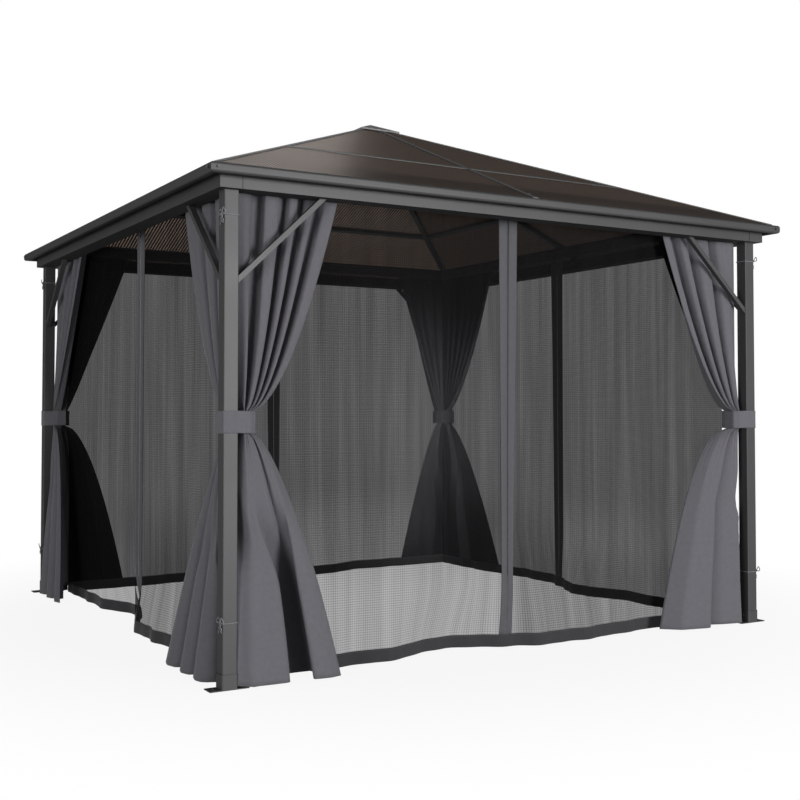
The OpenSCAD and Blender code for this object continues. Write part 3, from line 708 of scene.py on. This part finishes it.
def hang_curtain(corner):
    """The curtain of one corner."""
    rows = np.concatenate([
        np.linspace(CURTAIN_CLEAR, TIE_Z, 44), np.linspace(TIE_Z, TIE_TOP, 7)[1:],
        np.linspace(TIE_TOP, CURTAIN_TOP, 44)[1:],
    ])
    columns = np.arange(CURTAIN_COLUMNS)
    points = curtain_grid(corner, columns, rows).reshape(-1, 3)
    across, up = np.meshgrid((columns / (CURTAIN_COLUMNS - 1) - 0.5) * CURTAIN_FLAT, rows)
    flat = np.stack([across, up], axis=-1).reshape(-1, 2)
    mirror = CORNERS[corner]
    faces = grid_faces(len(rows), len(columns), flip=mirror[0] * mirror[1] > 0)
    curtain = piece(f"curtain_cloth_{corner}", points, faces, curtain_cloth, flat)
    thicken(curtain, CLOTH)
    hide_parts(f"curtain_{corner}")
    return curtain


curtains = {corner: hang_curtain(corner) for corner in CORNERS}


# Tie bands: a loop of cloth round each post and its gathered curtain

# Corners of the loop, anticlockwise, and the radius round them
TIE_STOPS = np.array([
    (-1.407, -1.407), (-1.304, -1.407), (-1.280, -1.392), (-1.274, -1.345),
    (-1.292, -1.312), (-1.345, -1.312), (-1.407, -1.338),
])
TIE_ROUND = 0.003
# The band's distance from that line, its thickness, and how far from the gazebo's middle it
# starts to lie on cloth
TIE_OFF, TIE_THICK, TIE_ON_CLOTH = 0.0020, 0.0022, 1.345
# Number of its puckers, their depth, and how far the band waves up and down
TIE_PUCKERS, TIE_PUCKER, TIE_WAVE = 23, 0.0006, 0.0012


def tie_loop(off):
    """Points of the loop at a distance from the post, its corners rounded, and closed."""
    around = []
    for i, stop in enumerate(TIE_STOPS):
        back, on = stop - TIE_STOPS[i - 1], TIE_STOPS[(i + 1) % len(TIE_STOPS)] - stop
        first = math.atan2(back[1], back[0]) - math.pi / 2
        turn = (math.atan2(on[1], on[0]) - math.pi / 2 - first) % (2 * math.pi)
        for angle in np.linspace(first, first + turn, 5):
            around.append(stop + (TIE_ROUND + off) * np.array([math.cos(angle), math.sin(angle)]))
    return evenly(np.array(around + around[:1]), 121)


def tie_band(corner):
    """Cloth band of one corner: it puckers a little over the curtain and flares at its edges."""
    loop = tie_loop(TIE_OFF)
    length = np.linalg.norm(np.diff(loop, axis=0), axis=1).sum()
    rows = np.linspace(0, 1, 13)
    share, up = np.meshgrid(np.linspace(0, 1, len(loop)), rows)
    out = loop - TIE_STOPS.mean(axis=0)
    out /= np.linalg.norm(out, axis=1, keepdims=True)
    on_cloth = ease((loop[:, 0] + TIE_ON_CLOTH) / 0.03) + ease((loop[:, 1] + TIE_ON_CLOTH) / 0.03)
    off_middle = np.abs(2 * up - 1)
    pucker = np.minimum(on_cloth, 1) * np.sin(2 * math.pi * TIE_PUCKERS * share)
    grow = TIE_PUCKER * (pucker * (0.4 + 0.6 * off_middle) + off_middle ** 2)
    height = TIE_Z + TIE_H * up + TIE_WAVE * np.sin(2 * math.pi * 2 * share)
    points = np.concatenate([loop[None] + out[None] * grow[..., None], height[..., None]], axis=-1)
    mirror = CORNERS[corner]
    points = points.reshape(-1, 3) * (*mirror, 1)
    flat = np.stack([share * length, up * TIE_H], axis=-1).reshape(-1, 2)
    faces = grid_faces(len(rows), len(loop), flip=mirror[0] * mirror[1] < 0)
    band = piece(f"curtain_tie_band_{corner}", points, faces, curtain_cloth, flat)
    thicken(band, TIE_THICK)
    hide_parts("curtain_ties")


for corner in CORNERS:
    tie_band(corner)


# Net tie cords: round each post, with a bow on its outer side

# Radius of the cord, its clearance round the post and the heights of its two ties
CORD_R, CORD_CLEAR, CORD_HEIGHTS = 0.0020, 0.0004, (0.250, POST_H - 0.095)
# Two loops of a bow: way, lean in degrees and size; and its two ends: way and length
BOW_LOOPS, BOW_ENDS = ((-1, 62, 0.032), (1, 58, 0.028)), ((-1, 0.042), (1, 0.036))
# Turns of the knot over the bow
KNOT_TURNS = 1.6


def tube(path, radius, sides=8):
    """Points and faces of a round cord along a path, its ends closed."""
    along = np.gradient(path, axis=0)
    along /= np.linalg.norm(along, axis=1, keepdims=True)
    side = np.cross(along[0], (0.3, 0.5, 0.8))
    rings = []
    for place, ahead in zip(path, along):
        side = side - ahead * (side @ ahead)
        side /= np.linalg.norm(side)
        up = np.cross(ahead, side)
        angles = np.arange(sides) * 2 * math.pi / sides
        rings.append(place + radius * (np.outer(np.cos(angles), side) + np.outer(np.sin(angles), up)))
    faces = []
    for k in range(len(path) - 1):
        for i in range(sides):
            j = (i + 1) % sides
            faces.append((k * sides + i, k * sides + j, (k + 1) * sides + j, (k + 1) * sides + i))
    last = (len(path) - 1) * sides
    faces += [tuple(range(sides))[::-1], tuple(range(last, last + sides))]
    return np.concatenate(rings), faces


def bow_paths():
    """Paths of one tie in the frame of its post: a loop round the post, two bow loops, two
    ends and the knot over them. The bow lies on the outer side, -x."""
    half = POST_W / 2 + CORD_CLEAR + CORD_R
    edge = 0.004
    corners = [(-half, -half), (half, -half), (half, half), (-half, half)]
    ring = []
    for i, (x, y) in enumerate(corners):
        start_angle = math.pi * (1 + i / 2)
        for angle in np.linspace(start_angle, start_angle + math.pi / 2, 6):
            ring.append((x - math.copysign(edge, x) + edge * math.cos(angle),
                         y - math.copysign(edge, y) + edge * math.sin(angle), 0.0))
    knot = np.array([-half - 0.0022, -POST_W / 4, 0.0])
    paths = [np.array(ring + ring[:1])]
    turn = np.linspace(0, 1, 25)
    for way, lean, size in BOW_LOOPS:
        lean = math.radians(90 + way * lean)
        out = size * np.sin(math.pi * turn) ** 0.8
        swing = 0.45 * size * np.sin(2 * math.pi * turn) * np.sin(math.pi * turn)
        across = -(out * math.cos(lean) - swing * math.sin(lean))
        up = out * math.sin(lean) + swing * math.cos(lean)
        out_of_face = -0.003 * np.sin(2 * math.pi * turn) - 0.001
        paths.append(knot + np.stack([out_of_face, across, up], axis=-1))
    for way, length in BOW_ENDS:
        reach_out = turn[:16] / turn[15] * length
        lean = math.radians(20) * way
        across = reach_out * math.sin(lean) + 0.003 * np.sin(4 * math.pi * reach_out / length)
        out_of_face = np.full(len(across), 0.0005 * way)
        paths.append(knot + np.stack([out_of_face, -across, -reach_out * math.cos(lean)], axis=-1))
    wrap = np.linspace(0, 2 * math.pi * KNOT_TURNS, 26)
    paths.append(knot + np.stack([
        0.0026 * np.cos(wrap) - 0.0006, 0.0016 * np.cos(wrap / KNOT_TURNS), 0.0034 * np.sin(wrap),
    ], axis=-1))
    return paths


def net_cords():
    """All ties of the nets: two on each post."""
    points, faces = [], []
    for corner, mirror in CORNERS.items():
        for z in CORD_HEIGHTS:
            for path in bow_paths():
                place = (path + (-POST_AXIS, -POST_AXIS, z)) * (*mirror, 1)
                ring, sides = tube(place, CORD_R)
                base = sum(len(part) for part in points)
                faces += [tuple(base + i for i in face) for face in sides]
                points.append(ring)
    cords = piece("net_tie_cords", np.concatenate(points), faces, cord_braid)
    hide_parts("net_ties")


net_cords()


# Small parts that repeat: Geometry Nodes set them on points or along lines

# Steps between stitches and between zip teeth, and how far seams lie off the faces of a net
STITCH_STEP, TOOTH_STEP, SEAM_OFF = 0.010, 0.006, 0.0016
# Seams' distances: from a curtain's ends, its hem and heading, a net's ends, the edges of its
# hem and heading, and from the middle of its zip
SEAM_END, SEAM_HEM, NET_SEAM_END, BAND_SEAM, ZIP_SEAM = 0.01, 0.03, 0.01, 0.005, 0.014
# Size of a runner, its clearance over the cloth, and the last place and the step of a net's row
RUNNER, RUNNER_CLEAR, RUNNER_LAST, RUNNER_STEP = 0.009, 0.0005, 1.2, 0.12
# Size of a screw and its clearance; where the eave screws sit along a side, and their drop under
# its edge; where a cover strip's screws sit, and the strip's height over the roof plane
SCREW, SCREW_CLEAR, EAVE_SCREW, EAVE_SCREW_DROP = 0.011, 0.0001, 1.472, 0.013
STRIP_SCREWS, STRIP_OUT = (1.43, 0.98, 0.45), 0.0025
# Middle of a brace, its inner face, its run across and up, and its screws' share of that run
BRACE_X, BRACE_Z, BRACE_FACE, BRACE_RUN, BRACE_RISE = -1.1712, 1.7143, -1.3798, 0.376, 0.355
BRACE_SCREWS = (-0.42, 0.42)
# Height of the screws in a foot, and how far its sleeve stands out from the post
FOOT_SCREW_Z, FOOT_SLEEVE = 0.036, 0.0033


def new_tree(name, inputs):
    """A Geometry Nodes tree with named inputs; returns it with its input sockets."""
    tree = bpy.data.node_groups.new(name, "GeometryNodeTree")
    for label, kind in {"Geometry": "Geometry", **inputs, "Finish": "Material"}.items():
        tree.interface.new_socket(label, in_out="INPUT", socket_type="NodeSocket" + kind)
    tree.interface.new_socket("Geometry", in_out="OUTPUT", socket_type="NodeSocketGeometry")
    return tree, add(tree, "NodeGroupInput").outputs


def close_tree(tree, points, shape, rotation, scale, finish):
    """Sets a shape on points, makes it real and gives it its finish."""
    many = add(tree, "GeometryNodeInstanceOnPoints", {
        "Points": points, "Instance": shape, "Rotation": rotation, "Scale": scale,
    })
    real = add(tree, "GeometryNodeRealizeInstances", {"Geometry": many.outputs[0]})
    done = add(tree, "GeometryNodeSetMaterial", {"Geometry": real.outputs[0], "Material": finish})
    add(tree, "NodeGroupOutput", {"Geometry": done.outputs[0]})
    return tree


def joined(tree, shapes):
    """Several shapes of a tree as one."""
    join = tree.nodes.new("GeometryNodeJoinGeometry")
    for shape in shapes:
        tree.links.new(shape, join.inputs[0])
    return join.outputs[0]


def moved(tree, shape, place, turn=(0, 0, 0)):
    """A shape of a tree, turned and set in its place."""
    return add(tree, "GeometryNodeTransform", {
        "Geometry": shape, "Translation": place, "Rotation": turn,
    }).outputs[0]


def facing(tree, axis):
    """Rotation that points an axis of a shape along the attribute facing of its point."""
    way = add(tree, "GeometryNodeInputNamedAttribute", {"Name": "facing"}, data_type="FLOAT_VECTOR")
    return add(tree, "FunctionNodeAlignRotationToVector", {"Vector": way.outputs[0]}, axis=axis).outputs[0]


def screw_tree():
    """Hexagon head screws with a washer, one on each point."""
    tree, given = new_tree("hexagon_screws", {"Head": "Float"})
    washer = add(tree, "GeometryNodeMeshCylinder", {"Vertices": 14, "Radius": 0.72, "Depth": 0.16})
    head = add(tree, "GeometryNodeMeshCylinder", {"Vertices": 6, "Radius": 0.54, "Depth": 0.42})
    shape = joined(tree, [
        moved(tree, washer.outputs[0], (0, 0, 0.08)), moved(tree, head.outputs[0], (0, 0, 0.37)),
    ])
    return close_tree(tree, given["Geometry"], shape, facing(tree, "Z"), given["Head"], given["Finish"])


def runner_tree():
    """Rail runners: a stem out of the rail and an eye for the cloth's hook."""
    tree, given = new_tree("rail_runners", {"Size": "Float"})
    stem = add(tree, "GeometryNodeMeshCylinder", {"Vertices": 8, "Radius": 0.17, "Depth": 0.7})
    line = add(tree, "GeometryNodeCurvePrimitiveCircle", {"Resolution": 12, "Radius": 0.42})
    wire = add(tree, "GeometryNodeCurvePrimitiveCircle", {"Resolution": 6, "Radius": 0.12})
    eye = add(tree, "GeometryNodeCurveToMesh", {"Curve": line.outputs[0], "Profile Curve": wire.outputs[0]})
    shape = joined(tree, [
        moved(tree, stem.outputs[0], (0, 0, -0.2)),
        moved(tree, eye.outputs[0], (0, 0, -0.9), (math.pi / 2, 0, 0)),
    ])
    return close_tree(tree, given["Geometry"], shape, facing(tree, "X"), given["Size"], given["Finish"])


def row_tree(name, shape_kind, shape_inputs):
    """A small shape set along lines at even steps, its Z axis along the line."""
    tree, given = new_tree(name, {"Step": "Float"})
    line = add(tree, "GeometryNodeMeshToCurve", {"Mesh": given["Geometry"]})
    steps = add(tree, "GeometryNodeCurveToPoints", {
        "Curve": line.outputs[0], "Length": given["Step"],
    }, mode="LENGTH").outputs
    shape = add(tree, shape_kind, shape_inputs).outputs[0]
    return close_tree(tree, steps["Points"], shape, steps["Rotation"], (1, 1, 1), given["Finish"])


def grown(name, tree, points, edges, values, ways=None):
    """A piece that a tree grows on points or lines, made into a plain mesh."""
    seed = bpy.data.meshes.new(name + "_seed")
    seed.from_pydata([tuple(p) for p in points], edges, [])
    if ways is not None:
        seed.attributes.new("facing", "FLOAT_VECTOR", "POINT").data.foreach_set("vector", np.ravel(ways))
    made = bpy.data.objects.new(name, seed)
    modifier = made.modifiers.new("grow", "NODES")
    modifier.node_group = tree
    for socket in tree.interface.items_tree:
        if socket.in_out == "INPUT" and socket.name in values:
            modifier[socket.identifier] = values[socket.name]
    bpy.context.scene.collection.objects.link(made)
    mesh = bpy.data.meshes.new_from_object(made.evaluated_get(bpy.context.evaluated_depsgraph_get()))
    made.modifiers.remove(modifier)
    mesh.name = name
    made.data = mesh
    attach(made, "root")
    return made


def lines_of(rows):
    """Points and edges of several lines of points."""
    points, edges = [], []
    for row in rows:
        base = sum(len(r) for r in points)
        edges += [(base + i, base + i + 1) for i in range(len(row) - 1)]
        points.append(row)
    return np.concatenate(points), edges


stitch_tree = row_tree("stitches", "GeometryNodeMeshCylinder", {
    "Vertices": 6, "Radius": 0.0008, "Depth": 0.006,
})
tooth_tree = row_tree("zip_teeth", "GeometryNodeMeshCube", {"Size": (0.0055, 0.0042, 0.0034)})
screws, runners = screw_tree(), runner_tree()


def curtain_stitches(corner):
    """Seams of a curtain: down both free ends and along its hem and heading. The thread is as
    thick as the cloth, so it shows on both faces."""
    rows = np.linspace(CURTAIN_CLEAR + SEAM_END, CURTAIN_TOP - SEAM_END, 120)
    lines = [curtain_grid(corner, np.array([c]), rows)[:, 0] for c in (4, CURTAIN_COLUMNS - 5)]
    every = np.arange(3, CURTAIN_COLUMNS - 3)
    for z in (CURTAIN_CLEAR + SEAM_HEM, CURTAIN_TOP - SEAM_HEM):
        lines.append(curtain_grid(corner, every, np.array([z]))[0])
    points, edges = lines_of(lines)
    values = {"Step": STITCH_STEP, "Finish": seam_thread}
    grown(f"curtain_stitches_{corner}", stitch_tree, points, edges, values)


def net_stitches(side):
    """Seams of a net: along its hem and heading and beside its zip."""
    along = np.linspace(-NET_HALF + NET_SEAM_END, NET_HALF - NET_SEAM_END, 200)
    up = np.linspace(HEM_TOP, HEAD_LOW, 60)
    seams = [(along, np.full(len(along), z)) for z in (HEM_TOP - BAND_SEAM, HEAD_LOW + BAND_SEAM)]
    seams += [(zip_line(up, side) + off, up) for off in (-ZIP_SEAM, ZIP_SEAM)]
    rows = []
    for x, z in seams:
        for face in (-SEAM_OFF, SEAM_OFF):
            row = np.stack([x, -NET_R + net_offset(x, z) + face, z], axis=-1)
            rows.append(turned(row, SIDES[side]))
    points, edges = lines_of(rows)
    values = {"Step": STITCH_STEP, "Finish": seam_thread}
    grown(f"net_stitches_{side}", stitch_tree, points, edges, values)


def net_zip(side):
    """Teeth of the zip in the middle of a net."""
    z = np.linspace(HEM_TOP, HEAD_LOW, 90)
    x = zip_line(z, side)
    line = turned(np.stack([x, -NET_R + net_offset(x, z), z], axis=-1), SIDES[side])
    points, edges = lines_of([line])
    values = {"Step": TOOTH_STEP, "Finish": zip_nylon}
    grown(f"net_zip_teeth_{side}", tooth_tree, points, edges, values)


def rail_runners():
    """Runners on both rails of each side: one for every fold of a curtain, and a row for
    each net."""
    points, ways = [], []
    for corner, mirror in CORNERS.items():
        for number, side in enumerate(HANGS[corner]):
            for share in [share for share, depth in side[0] if abs(depth) == 1.0]:
                away = np.array([side[3] * share, 0.0])
                place = np.array([-CURTAIN_R, -CURTAIN_R]) + (away if number == 0 else away[::-1])
                points.append((*(place * mirror), CURTAIN_TOP + RUNNER_CLEAR))
                ways.append((0, 1, 0) if number == 0 else (1, 0, 0))
    for degrees in SIDES.values():
        for x in np.arange(-RUNNER_LAST, RUNNER_LAST + RUNNER_STEP / 2, RUNNER_STEP):
            points.append(turned(np.array([x, -NET_R, NET_TOP + RUNNER_CLEAR]), degrees))
            ways.append(turned(np.array([0.0, 1.0, 0.0]), degrees))
    values = {"Size": RUNNER, "Finish": runner_nylon}
    grown("rail_runners", runners, points, [], values, ways)


def frame_screws():
    """Screws of the frame: at the eave corners, through the cover strips of the middle
    rafters, on the inner faces of the braces and of the feet."""
    points, ways = [], []
    tilt = np.array([0, -math.sin(PITCH), math.cos(PITCH)])
    for degrees in SIDES.values():
        spots = [
            ((x, -EAVE_R - SCREW_CLEAR, EAVE_Z - EAVE_SCREW_DROP), (0, -1, 0))
            for x in (-EAVE_SCREW, EAVE_SCREW)
        ]
        for r in STRIP_SCREWS:
            spots.append((np.array([0, -r, roof_z(r)]) + STRIP_OUT * tilt, tilt))
        for place, way in spots:
            points.append(turned(np.array(place, float), degrees))
            ways.append(turned(np.array(way, float), degrees))
    for mirror in CORNERS.values():
        spots = [
            ((BRACE_X + share * BRACE_RUN, BRACE_FACE, BRACE_Z + share * BRACE_RISE), (0, 1, 0))
            for share in BRACE_SCREWS
        ]
        spots += [((p[1], p[0], p[2]), (w[1], w[0], w[2])) for p, w in spots]
        inner = POST_AXIS - POST_W / 2 - FOOT_SLEEVE
        spots.append(((-inner, -POST_AXIS, FOOT_SCREW_Z), (1, 0, 0)))
        spots.append(((-POST_AXIS, -inner, FOOT_SCREW_Z), (0, 1, 0)))
        for place, way in spots:
            points.append(np.array(place) * (*mirror, 1))
            ways.append(np.array(way, float) * (*mirror, 1))
    grown("frame_screws", screws, points, [], {"Head": SCREW, "Finish": screw_steel}, ways)


for corner in CORNERS:
    curtain_stitches(corner)
for side in SIDES:
    net_stitches(side)
    net_zip(side)
rail_runners()
frame_screws()


# Stage: floor, light and camera

# Half the floor's width, and the distances from the middle over which it fades to white
FLOOR_HALF, FADE_FROM, FADE_TO = 60, 1.5, 3.4
# Elevation over which the white walls go over into the ceiling, in degrees
WALL_TOP, CEILING = 21, 25
# Lamps: name, place, what it points at, power, size and spread in degrees
LAMPS = (
    ("key", (2.4, -11.0, 2.0), (0.0, -1.4, 1.2), 1150, 3.2, 180),
    ("fill", (-9.5, -6.5, 1.4), (-1.4, -0.6, 1.0), 740, 4.0, 180),
    ("back", (1.0, 4.2, 5.2), (-0.5, -0.6, 2.2), 140, 2.6, 180),
    ("inside", (0.96, 0.0, 1.1), (1.06, 1.32, 0.95), 40, 0.3, 75),
)
# The photograph's view, from the front left, at the height of the ties: the camera's place,
# its tilt and turn in degrees, its lens and sensor in millimetres and its shift
CAMERA, TILT, TURN = (-3.0594, -5.5201, 1.0466), 1.777, -30.464
LENS, SENSOR, SHIFT = 52.44, 36.0, -0.032


def seen_ray(tree):
    """1 on rays that show a thing to the eye, straight, through clear sheet or mirrored."""
    path = add(tree, "ShaderNodeLightPath")
    seen = add(tree, "ShaderNodeMath", {
        0: path.outputs["Is Camera Ray"], 1: path.outputs["Is Transmission Ray"],
    }, operation="MAXIMUM")
    return add(tree, "ShaderNodeMath", {
        0: seen.outputs[0], 1: path.outputs["Is Glossy Ray"],
    }, operation="MAXIMUM").outputs[0]


def pale_floor():
    """Matt paper, pale grey: it keeps a soft shadow round the posts and fades to white further
    out."""
    material, tree, out = start("pale_studio_floor")
    place = add(tree, "ShaderNodeTexCoord").outputs["Object"]
    away = add(tree, "ShaderNodeVectorMath", {0: place}, operation="LENGTH")
    fade = add(tree, "ShaderNodeMapRange", {
        "Value": away.outputs["Value"], "From Min": FADE_FROM, "From Max": FADE_TO,
        "To Min": 0.90, "To Max": 1.0,
    }, interpolation_type="SMOOTHSTEP")
    part = add(tree, "ShaderNodeMath", {
        0: seen_ray(tree), 1: fade.outputs["Result"],
    }, operation="MULTIPLY")
    matt = add(tree, "ShaderNodeBsdfDiffuse", {"Color": linear("#b4b4b4")})
    white = add(tree, "ShaderNodeEmission", {"Color": linear("#ffffff"), "Strength": 1.0})
    whole = add(tree, "ShaderNodeMixShader", {
        0: part.outputs[0], 1: matt.outputs[0], 2: white.outputs[0],
    })
    tree.links.new(whole.outputs[0], out.inputs[0])
    return material


def studio_floor():
    """One large square under the feet."""
    floor = bpy.data.meshes.new("floor")
    corners = [(x * FLOOR_HALF, y * FLOOR_HALF, 0) for x, y in ((-1, -1), (1, -1), (1, 1), (-1, 1))]
    floor.from_pydata(corners, [], [(0, 1, 2, 3)])
    ground = bpy.data.objects.new("floor", floor)
    bpy.context.scene.collection.objects.link(ground)
    floor.materials.append(pale_floor())


def studio_walls():
    """White walls all round, a little higher than the view reaches, and a dim ceiling."""
    world = bpy.data.worlds.new("studio")
    bpy.context.scene.world = world
    world.use_nodes = True
    tree = world.node_tree
    tree.nodes.clear()
    way = add(tree, "ShaderNodeTexCoord").outputs["Generated"]
    height = add(tree, "ShaderNodeSeparateXYZ", {0: way}).outputs["Z"]
    wall = add(tree, "ShaderNodeMapRange", {
        "Value": height,
        "From Min": math.sin(math.radians(CEILING)), "From Max": math.sin(math.radians(WALL_TOP)),
    })
    part = add(tree, "ShaderNodeMath", {0: seen_ray(tree), 1: wall.outputs[0]}, operation="MULTIPLY")
    ambient = add(tree, "ShaderNodeBackground", {"Color": linear("#ffffff"), "Strength": 0.22})
    white = add(tree, "ShaderNodeBackground", {"Color": linear("#ffffff"), "Strength": 1.0})
    whole = add(tree, "ShaderNodeMixShader", {
        0: part.outputs[0], 1: ambient.outputs[0], 2: white.outputs[0],
    })
    add(tree, "ShaderNodeOutputWorld", {0: whole.outputs[0]})


def studio_lamps():
    """Soft area lamps: two in front, one from behind over the roof, and a narrow one inside."""
    for name, place, target, power, size, spread in LAMPS:
        lamp = bpy.data.lights.new(name, "AREA")
        lamp.energy = power
        lamp.size = size
        lamp.spread = math.radians(spread)
        light = bpy.data.objects.new(name, lamp)
        light.location = place
        light.rotation_euler = (Vector(target) - Vector(place)).to_track_quat("-Z", "Y").to_euler()
        bpy.context.scene.collection.objects.link(light)


def studio_camera():
    """The camera, and plain colours in its picture."""
    data = bpy.data.cameras.new("camera")
    data.sensor_width = SENSOR
    data.lens = LENS
    data.shift_y = SHIFT
    data.clip_end = 200
    camera = bpy.data.objects.new("camera", data)
    camera.location = CAMERA
    camera.rotation_euler = (math.radians(90 + TILT), 0, math.radians(TURN))
    bpy.context.scene.collection.objects.link(camera)
    bpy.context.scene.camera = camera
    bpy.context.scene.view_settings.view_transform = "Standard"


studio_floor()
studio_walls()
studio_lamps()
studio_camera()
